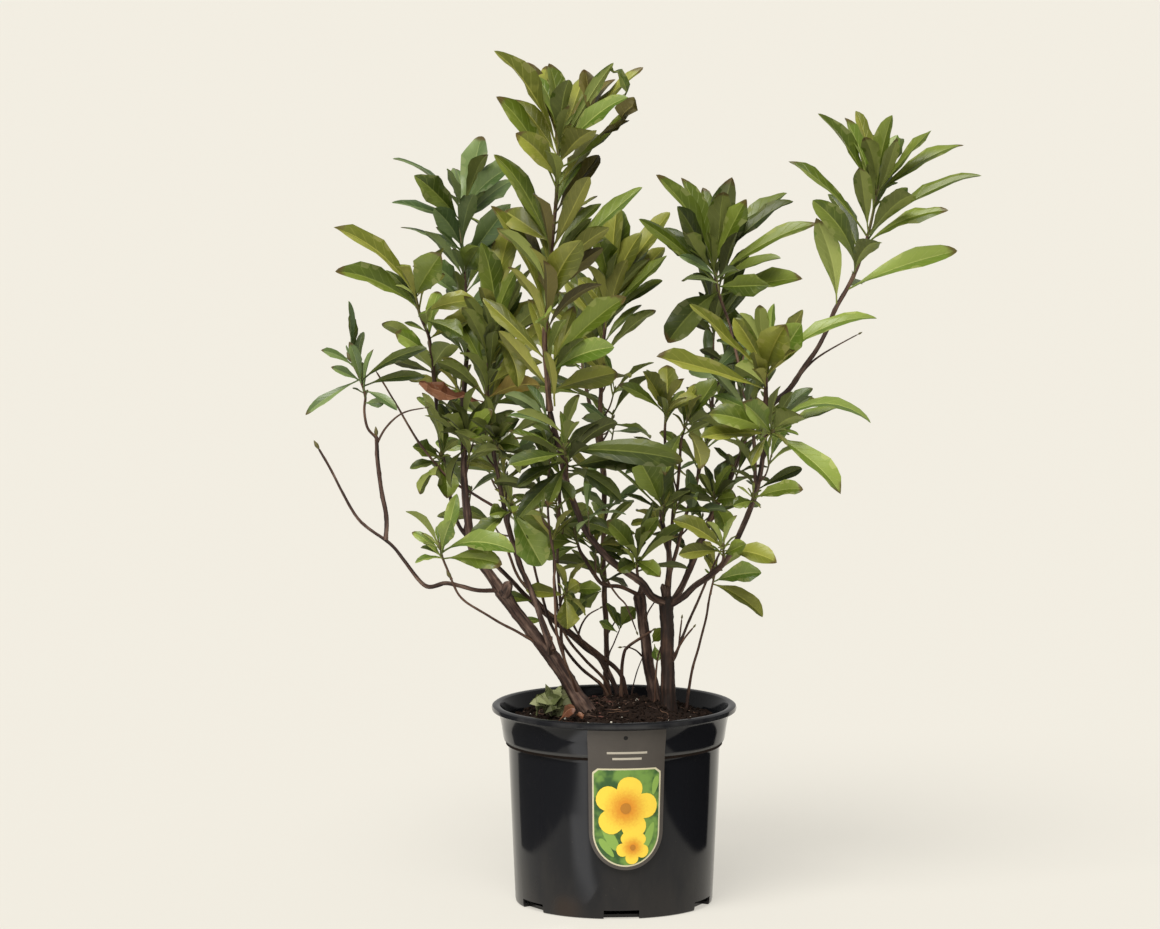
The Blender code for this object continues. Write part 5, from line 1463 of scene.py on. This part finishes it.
# %% Spurs
SPURS = {                      # the share of a stem where spurs begin, their step, leaf length
    "leader_left": (0.5, 24, 46), "stem_inner_left": (0.5, 20, 44),
    "stem_cross": (0.65, 22, 42), "stem_back": (0.35, 20, 46), "stem_fine": (0.7, 26, 38),
    "stem_front": (0.7, 26, 38), "bough_centre": (0.35, 24, 46),
    "bough_right_inner": (0.35, 18, 44), "bough_red": (0.3, 22, 40),
    "stem_high_right": (0.1, 22, 46), "stem_back_right": (0.15, 18, 46),
    "bough_back_right": (0.35, 24, 46), "bough_right": (0.6, 26, 46),
    "bough_middle_left": (0.5, 20, 36), "bough_back_left": (0.45, 22, 50),
    "bough_back_middle": (0.2, 20, 50),
}
spur_paths, spur_leaves = {}, {}
rng = random.Random(57)
for limb, (first, step, length) in SPURS.items():
    path = limb_paths[limb]
    whole = sum(spans(path))
    run = first * whole
    while run < whole:
        here, ahead = at_share(path, run / whole)
        seat = run
        run += step * rng.uniform(0.7, 1.3)
        turn = rng.choice((-1, 1)) * math.radians(90 + rng.uniform(-48, 48))
        out = Vector((math.cos(turn), math.sin(turn), 0))
        out = (out - ahead * out.dot(ahead)).normalized()
        reach = rng.uniform(9, 26)
        tip = here + out * reach * 0.8 + Vector((0, 0, reach * 0.7)) + ahead * reach * 0.2
        spur = [here, here + out * reach * 0.5 + Vector((0, 0, reach * 0.12)), tip]
        name = f"spur_{len(spur_paths)}"
        skin = plain_twig(spur[1:], 0.8, 0.7, MARGIN)
        if placed.touches(limb, *skin):
            continue
        placed.add(name, *skin)
        start, _ = at_share(path, max(seat - SLANT * 0.5 * reach, 0) / whole)
        spur_paths[name], spur_leaves[name] = [start, *spur[1:]], []
        way = (tip - spur[1]).normalized()
        for i in range(rng.choice((4, 5, 6))):
            turn = GOLDEN * i + rng.uniform(-0.4, 0.4)
            lean = math.radians(rng.uniform(30, 80))
            size = length * rng.uniform(0.65, 1.25)
            spur_leaves[name] += dealt_leaf(
                name, at_share(spur, 0.98 - 0.05 * i)[0], leaning(way, turn, lean) * size, size,
                (0.2, 0.29), (20, 80), (8, 45))
print("spurs:", len(spur_paths), "with", sum(map(len, spur_leaves.values())), "leaves")

# %% [markdown]
# The longest leaves crowd along the shoots of the crown, nearly upright and close to each
# other, so that only slits of sky show between them. More of them are dealt to the shoots
# where the shrub is densest, and a few loose sprigs come up low down between the stems.

# %% Crowded shoots and low sprigs
CROWDED = {                    # leaves, their length, first and last share of the shoot
    "top": (22, 86, 0.02, 0.62), "inner_left": (18, 84, 0.05, 0.9),
    "back_middle": (12, 72, 0.05, 0.8), "upper_left": (10, 60, 0.1, 0.9),
    "centre": (8, 66, 0.1, 0.9), "heart": (8, 60, 0.1, 1.0), "leader": (8, 60, 0.1, 1.0),
    "inner_mid": (8, 60, 0.1, 1.0),
}
rng = random.Random(83)
crowd = {mass: [] for mass in MASSES}
for mass, (count, length, first, last) in CROWDED.items():
    turn = rng.uniform(0, math.tau)
    for i in range(count):
        foot, ahead = at_share(shoots[mass], first + (last - first) * i / count)
        for attempt in range(7):
            turn += GOLDEN
            lean = math.radians(rng.uniform(24, 52))
            reach = leaning(ahead, turn, lean) * length
            reach *= rng.uniform(0.75, 1.1)
            leaf = dealt_leaf(mass, foot, reach, reach.length, (0.24, 0.31), (30, 85), (15, 50))
            crowd[mass] += leaf
            if leaf:
                break
SPRIGS = (                     # foot, tip of the leaf from it, width, face
    ((6, 30, 254), (14, -4, 20), 17, 75), ((6, 30, 254), (-4, 2, 15), 8, 60),
    ((5, 30, 253), (-12, 0, 26), 9, 60), ((3, 30, 250), (-17, -4, 11), 9, 70),
    ((36, 18, 242), (11, -6, 14), 12, 75), ((38, 18, 240), (3, -4, -14), 10, 70),
    ((-40, 20, 262), (-5, -4, 32), 13, 80), ((-40, 20, 262), (13, -6, 22), 16, 70),
    ((-74, 22, 280), (-30, -6, 8), 11, 70), ((-12, 24, 290), (-20, -4, -13), 15, 75),
    ((-28, 18, 298), (-19, -2, -6), 12, 70), ((-66, 24, 262), (-20, -2, 0), 8, 60),
)
sprigs = []
for foot, reach, width, face in SPRIGS:
    sprigs += place_leaf("sprig", Vector(foot), Vector(reach), width, face, 25)
print("crowded:", sum(map(len, crowd.values())), "low sprig leaves:", len(sprigs))

# %% [markdown]
# ## Small leaves at the tips
# Every shoot ends in a whorl: small new leaves stand round a pointed bud, between the large
# ones. They go through the same clearance test.

# %% Tip whorls and side leaves
small_leaves = {mass: [] for mass in MASSES}
rng = random.Random(31)
for mass, path in shoots.items():
    length = MASSES[mass][5][1]
    for i in range(7):
        foot, ahead = at_share(path, 0.995 if i < 5 else rng.uniform(0.5, 0.9))
        turn = GOLDEN * i + rng.uniform(-0.3, 0.3)
        lean = math.radians(rng.uniform(22, 55) if i < 5 else 60)
        reach = leaning(ahead, turn, lean) * length * rng.uniform(.3, .46)
        small_leaves[mass] += dealt_leaf(mass, foot, reach, reach.length, (0.24, 0.3), (30, 80),
                                         (5, 30))
print("small leaves:", sum(map(len, small_leaves.values())))

# %% [markdown]
# Last come some large leaves that close the shrub's outline where it still looks thin. They
# are written like a mass's own leaves.

# %% Added leaves
ADDED = {
    "top": [
        (1.0, -9, 67, -12, 24, 55, 10), (.93, -40, 52, -30, 26, 50, 15),
        (.85, -36, 44, 30, 26, 60, 15), (.62, -44, 28, -50, 26, 60, 10),
        (.50, -48, 42, -60, 28, 60, 15)],
    "inner_left": [
        (.98, 20, 108, -20, 30, 60, 10), (.90, 2, 96, -40, 30, 70, 10),
        (.95, 38, 62, -60, 28, 50, 20)],
    "upper_left": [
        (.90, 48, 40, -40, 26, 60, 10), (.60, 44, 62, 20, 28, 70, 15),
        (.40, 50, 50, -30, 28, 60, 20)],
    "right_middle": [(.95, -46, 28, -10, 24, 60, 10), (.90, 28, 60, -20, 24, 60, 10)],
    "high_right": [(1.0, 14, 74, 10, 26, 50, 10)],
    "cross": [(.80, 6, -34, 20, 24, 60, 20)],
    "left_low": [(.80, 10, 36, 20, 22, 60, 10)],
    "front_top": [(.90, 14, 42, -30, 22, 60, 10)],
    "centre_right": [(.95, -22, 44, 20, 22, 60, 10)],
    "right_back": [(.80, 22, 6, 30, 20, 60, 20)],
    "left_top": [(.30, -32, 26, 20, 22, 50, 15)],
    "back_middle": [(.90, 8, 92, 30, 26, 60, 10), (.80, 54, 50, -30, 24, 60, 10)],
    "centre": [(.90, -6, 68, -44, 26, 60, 10)],
}
for mass, entries in ADDED.items():
    own_leaves(mass, entries)

# %% [markdown]
# An azalea drops the leaves that get no light, so a grown shrub is open low down: its main
# boughs show bare, and there are slits that one can see through. Here every leaf is tested
# along the line of sight from the camera. One that would cover a stretch of a bare bough or
# half of a slit isn't drawn.

# %% Bare boughs and openings
BARE = {"bough_centre": (0.05, 0.92), "bough_right": (0.15, 0.75)}   # the stretch kept clear
OPENINGS = (                   # place across and up in the shrub's middle plane, radius
    (9, 548, 20), (-113, 395, 18), (-84, 386, 20), (184, 443, 13), (214, 443, 13),
    (-193, 614, 11), (70, 582, 11), (70, 526, 12), (50, 448, 12), (106, 428, 12),
    (-209, 520, 11), (0, 399, 12), (10, 366, 14), (-2, 463, 11), (24, 463, 11),
)


def sight(point):
    """Where the line of sight to a point crosses the shrub's middle plane."""
    eye = Vector(CAMERA_PLACE) / MM
    here = eye - (point - eye) * eye.y / (point.y - eye.y)
    return here.xz


bare_spots = []
for limb, (first, last) in BARE.items():
    for i in range(50):
        here, _ = at_share(limb_paths[limb], first + (last - first) * i / 49)
        bare_spots.append((sight(here), here.y))
slits = [[Vector((x + radius * 0.6 * a, z + radius * 0.6 * b))
          for a, b in ((0, 0), (1, 0), (-1, 0), (0, 1), (0, -1))] for x, z, radius in OPENINGS]


def in_the_way(leaf, most):
    """Whether a leaf covers more than most spots of a bare bough, or half of a slit."""
    foot, reach, width, face, bend = leaf
    length, chord, upper = leaf_frame(reach, face)
    rib = [rib_point(foot, length, chord, upper, bend, 0.1 + i / 11)[0] for i in range(11)]
    rib = [(sight(point), point.y) for point in rib]
    half = width * 0.42
    hidden = sum(any((here - spot).length < half and y < depth for here, y in rib)
                 for spot, depth in bare_spots)
    return hidden > most or any(
        sum(any((here - spot).length < half for here, _ in rib) for spot in slit) > 2
        for slit in slits)

# %% [markdown]
# ## Leaf blades
# An azalea leaf is a strap: it widens slowly, is broadest past its middle and ends in a
# short blunt point. It arches to one side and folds up a little from its rib, with its edges
# rolled back. Each one is a closed skin over rings of eight corners, five on the upper side
# and three below: twelve rings on a long leaf and eight on a short one. Every corner carries
# how far it is from the rib, how far along the leaf, and a number of the leaf's own, which
# the finish reads for the rib, the side veins and the leaf's shade. Painted shade darkens one
# half of each blade, and painted light in the rib's pale colour lightens the other.

# %% Leaf blades
LEAF_MARKS = (0.0, 0.07, 0.14, 0.23, 0.34, 0.45, 0.56, 0.67, 0.78, 0.87, 0.94, 0.98)
SMALL_MARKS = (0.0, 0.1, 0.22, 0.38, 0.56, 0.72, 0.86, 0.96)
LONG = 42                      # length from which a leaf has all its rings
UPPER = [(s / 2, True) for s in range(-2, 3)]      # place across, whether on the upper side
LOWER = [(0.5, False), (0, False), (-0.5, False)]


def leaf_blade(heap, leaf, crumple=0.0):
    """Adds one leaf with its fold, waves and stalk to a heap."""
    foot, reach, width, face, bend = leaf
    own = rng.random()
    length, chord, upper = leaf_frame(reach, face)
    late, full = rng.uniform(1.4, 1.9), rng.uniform(0.6, 0.84)
    arch = length * rng.uniform(-0.02, 0.07)
    fold = rng.uniform(0.3, 0.8)
    roll = rng.uniform(0.1, 0.3)
    wave, phase = rng.choice((0.05, 0.1, 0.15, 0.24)), rng.uniform(0, math.tau)
    pinch = rng.uniform(0.0, 0.14)
    twist = math.radians(rng.uniform(-26, 26))
    hook = rng.uniform(-0.02, 0.07)
    rings, marks = [], []
    for t in (LEAF_MARKS if length > LONG else SMALL_MARKS):
        centre, ahead = rib_point(foot, length, chord, upper, bend, t)
        centre -= upper * hook * length * max(t - 0.7, 0) ** 2 * 8
        side = ahead.cross(upper).normalized()
        centre += side * math.copysign(arch * 4 * t * (1 - t), arch * side.z)
        above = side.cross(ahead)
        turn = twist * (t - 0.4)
        side, above = (side * math.cos(turn) + above * math.sin(turn),
                       above * math.cos(turn) - side * math.sin(turn))
        # A higher late moves the broadest place to the tip.
        wide = math.sin(math.pi * ((t - 0.08) / 0.92) ** late) ** full if t > 0.08 else 0
        half = max(width / 2 * wide, 0.75 if length > LONG else 0.5)
        half *= 1 + pinch * math.sin(23 * t + 2 * phase)
        thin = 0.17 if half > 1 else 0.5
        ring = []
        for s, is_upper in UPPER + LOWER:
            lift = half * (fold * abs(s) - roll * s ** 4)
            lift += half * wave * s * s * math.sin(14 * t + phase + (1.3 if s > 0 else 0))
            if is_upper:
                lift += thin if abs(s) < 1 else 0
            else:
                lift = lift - thin - (0.35 + 0.4 * (1 - t) if s == 0 else 0)
            ring.append(centre + side * half * s + above * lift)
            marks.append((s, t, own))
        rings.append([p + noise.noise_vector(p * 0.09) * crumple for p in ring])
    tip, _ = rib_point(foot, length, chord, upper, bend, 1.0)
    corners, faces = loft(rings, tip - upper * hook * length * 0.72)
    heap.add(corners, faces, marks + [(0, 1, own)], [1] + [0, 0, 0, 0, 1, 1, 1, 1] * len(rings))


def leaf_finish(name, light, dark, rib, roughness, shine=0.38):
    """A leaf's skin: its shade, painted shade on one half and painted light on the other, a pale
    rib, faint side veins, and a scorched tip on some.
    """
    skin = Finish(name, light, roughness, Specular_IOR_Level=shine)
    side, along, own = skin.parts(skin.attribute("blade"))
    across = side.math('ABSOLUTE')
    mottle = skin.noise(skin.place(), 130)
    # Painted shade: the dark tone made darker still, for one half of the blade.
    painted_shade = tuple(0.6 * c for c in paint(dark))
    veins = (along * 9 - across * 1.7).math('FRACT')
    veins = skin.mask(veins, 0.86, 0.97) * skin.mask(across, 1.0, 0.7)
    stains = skin.mask(skin.noise(skin.place(), 62), 0.6, 0.72)
    scorch = skin.mask(along + across * 0.03 + mottle * 0.14, 0.98, 1.05)
    tone = skin.mix(skin.mask(own * 0.75 + mottle * 0.5, 0.2, 1.0), dark, light)
    # The first two entries paint shade on one half of the blade and light, in the rib's pale
    # colour, on the other.
    for share, colour in (
            (skin.mask(side, -0.08, 0.08) * 0.45, painted_shade),
            (skin.mask(side, 0.08, -0.08) * 0.26, rib),
            (veins * 0.22, rib), (skin.mask(across + along * 0.05, 0.11, 0.05) * 0.68, rib),
            (stains * 0.16, rib), (scorch * skin.mask(own, 0.58, 0.66) * 0.85, "54401f")):
        tone = skin.mix(share, tone, colour)
    skin.set("Base Color", tone)
    skin.set("Roughness", roughness + mottle * 0.16)
    skin.bump(mottle * 0.5 - veins * 0.6, 0.0004, 0.5)
    return skin


# A shade's dark tone, darkened further, is also the painted shade on half a blade, and its rib
# colour is the painted light on the other half.
SHADES = {                     # light, dark, rib, light underside, dark underside, shine
    "fresh": ("7a8f30", "567022", "b0b96a", "98a355", "77843d", 0.4),
    "olive": ("838a2e", "5b611c", "b0ae54", "98974a", "6f7233", 0.38),
    "middle": ("64741f", "425213", "959f4e", "868e49", "5f6832", 0.38),
    "bluish": ("6c8248", "4a6133", "92a167", "84935b", "61714a", 0.5),
    "dark": ("434f16", "29350f", "707838", "5c6432", "444822", 0.26),
    "bronze": ("5c5523", "3d3716", "877f45", "6e6538", "4f482a", 0.36),
    "yellow": ("bba636", "a2762a", "d0c05e", "b7a34f", "9c8644", 0.36),
    "rust": ("8d5a3f", "633c2a", "b0866a", "9a6c52", "74503c", 0.2),
    "withered": ("848c55", "565e38", "b5b88c", "999c70", "6d7250", 0.2),
}
USUAL = "middle middle dark"
TONES = {                      # the shades that a mass's leaves are drawn from
    "top": "olive olive olive olive olive fresh fresh middle middle bronze",
    "upper_left": "bluish bluish bluish bluish middle",
    "left_top": "fresh middle olive", "left_tip": "bluish bluish dark",
    "inner_left": "middle middle olive", "back_middle": "middle middle olive",
    "right_middle": "middle middle middle dark", "middle_back": "dark middle",
    "high_right": "middle fresh middle olive", "right_crown": "olive fresh olive",
    "right_side": "fresh olive middle", "centre_right": "middle olive",
    "red_tip": "middle middle middle olive", "centre": "dark middle",
    "left_low": "fresh fresh middle", "left_inner_low": "fresh middle",
    "low_left": "fresh middle", "low_middle": "fresh olive middle",
    "red_stem": "fresh olive", "back_left": "middle dark",
    "back_top": "middle dark", "back_right": "middle middle dark",
    "right_low": "fresh olive middle",
}
ODD_LEAVES = {                 # a mass's leaf, by its rise, that has turned colour
    ("inner_left", 0.2): "yellow", ("inner_left", 0.15): "rust",
    ("centre_right", 0.7): "yellow",
}
WIDTHS = {"top": 1.05, "left_tip": 0.78, "high_right": 0.92}
ARCHED = {("right_side", 0.8): (20, 105)}   # another face and bend for a leaf
CURLED = 0.6                   # a withered leaf's width, by a fresh one's
MOST_HIDDEN = 3                # spots of a bare bough that a leaf by rule may cover
MOST_BY_OWN = 20               # and one that is written down

heaps = {}
for shade, (light, dark, rib, under_light, under_dark, shine) in SHADES.items():
    gloss = (0.6, 0.65) if shade == "withered" else (0.28, 0.55)
    heaps[shade] = Heap(
        f"{shade}_leaves", leaf_finish(f"{shade}_upper", light, dark, rib, gloss[0], shine),
        leaf_finish(f"{shade}_under", under_light, under_dark, rib, gloss[1]))
dropped = 0
rng = random.Random(43)
for mass in MASSES:
    tones = TONES.get(mass, USUAL).split()
    entries = MASSES[mass][4] + ADDED.get(mass, [])
    rises = {round(at_share(shoots[mass], entry[0])[0].z, 3): entry[0] for entry in entries}
    for leaf in leaves[mass] + small_leaves[mass] + crowd[mass]:
        rise = rises.get(round(leaf[0].z, 3))
        if (mass, rise) in ARCHED:
            leaf = (*leaf[:3], *ARCHED[mass, rise])
        if in_the_way(leaf, MOST_HIDDEN if rise is None else MOST_BY_OWN):
            dropped += 1
            continue
        shade = ODD_LEAVES.get((mass, rise), rng.choice(tones))
        slim = CURLED if shade == "rust" else 0.86 if rise is not None else 0.7
        leaf = (*leaf[:2], leaf[2] * slim * WIDTHS.get(mass, 1), *leaf[3:])
        leaf_blade(heaps[shade], leaf, 6 * (shade == "rust"))
for leaf in sprigs:
    leaf_blade(heaps[rng.choice(("fresh", "middle"))], leaf)
for own in spur_leaves.values():
    shade = rng.choice(("middle", "middle", "fresh", "dark", "bluish", "olive"))
    for leaf in own:
        if in_the_way(leaf, MOST_HIDDEN):
            dropped += 1
        else:
            leaf_blade(heaps[shade], leaf)
print("leaves dropped:", dropped)

# %% [markdown]
# Withered leaves lie where they fell: a crumpled pale clump between the left trunk and the
# pot's wall, and a brown one beside it. At the top of the crown frost has curled a few tips.

# %% Fallen and curled leaves
CRUMPLED = (                   # foot, tip from foot, width, face, bend, shade, crumple
    ((-66, -26, 184), (26, 4, 16), 20, 70, 60, "withered", 9),
    ((-60, -30, 182), (8, -4, 24), 19, 60, -50, "withered", 9),
    ((-46, -34, 186), (-24, -6, 15), 20, 75, 80, "withered", 9),
    ((-68, -32, 182), (14, -14, 13), 17, 60, 70, "withered", 9),
    ((-56, -40, 182), (16, 10, 20), 17, -60, 40, "withered", 9),
    ((-72, -30, 184), (22, -10, 20), 18, 60, 80, "withered", 9),
    ((-56, -44, 184), (-16, 4, 18), 18, 65, -60, "withered", 9),
    ((-50, -58, 184), (11, -5, 7), 9, 60, 60, "rust", 7),
    ((-37, -60, 184), (9, -4, 5), 6, 50, 50, "rust", 6),
    ((-14, -104, 722), (27, -2, 18), 8, 60, 20, "bronze", 3),
    ((7, -106, 736), (12, -2, 21), 18, 60, 70, "bronze", 8),
    ((9, -104, 760), (-11, -4, 28), 14, 65, 50, "middle", 7),
    ((-24, -110, 742), (-4, 6, 44), 17, 70, 20, "bronze", 3),
)
for foot, reach, width, face, bend, shade, crumple in CRUMPLED:
    leaf_blade(heaps[shade], (Vector(foot), Vector(reach), width, face, bend), crumple)
FOLIAGE = ["foliage_" + mass for mass in MASSES]     # the masses' nodes in the frame
for heap in heaps.values():
    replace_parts(heap.build("leaf", 27), *FOLIAGE)

# %% [markdown]
# ## Shoots and buds
# The shoots are young wood: brown at the foot, greenish towards the tip. Each ends in a
# pointed bud.

# %% Shoots and buds
BUD_RINGS = ((-1, 1.2), (1.5, 2.0), (3.5, 2.2), (6, 1.4), (8, 0.6))   # rise and radius
shoot_heap = Heap("shoots", young_bark, green_wood, reads="bark")
rng = random.Random(8)


def bud(tip, ahead, size):
    """A pointed bud at the end of a shoot."""
    side = ahead.orthogonal().normalized()
    above = ahead.cross(side)
    rings = [round_points(tip + ahead * rise * size, side, above, radius * size, 7)
             for rise, radius in BUD_RINGS]
    corners, faces = loft(rings, tip + ahead * 9 * size)
    shoot_heap.add(corners, faces, kinds=[1] * len(faces))


for mass, path in shoots.items():
    carrier, foot_radius, tip_radius = MASSES[mass][:3]
    start = slanted(carrier, roots[mass], path[2])
    bark_tube(shoot_heap, mass, [start] + path[2:], foot_radius * 1.08, tip_radius * 1.15,
              9, 0.1, green_from=0.72)
    bud(*at_share(path, 1), 1.0)
for _, _, given in BARE_TWIGS.values():
    bud(Vector(given[-1]), (Vector(given[-1]) - Vector(given[-2])).normalized(), 0.45)
for name in ("bough_left_low", "bough_left_upright", "twig_left_low"):
    bud(*at_share(limb_paths[name], 1), 0.9)
for name, path in spur_paths.items():
    bark_tube(shoot_heap, name, path, 1.0, 0.7, 7, 0.1, green_from=0.6)
    bud(*at_share(path, 1), 0.5)
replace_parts(shoot_heap.build("bark", 60), *FOLIAGE)
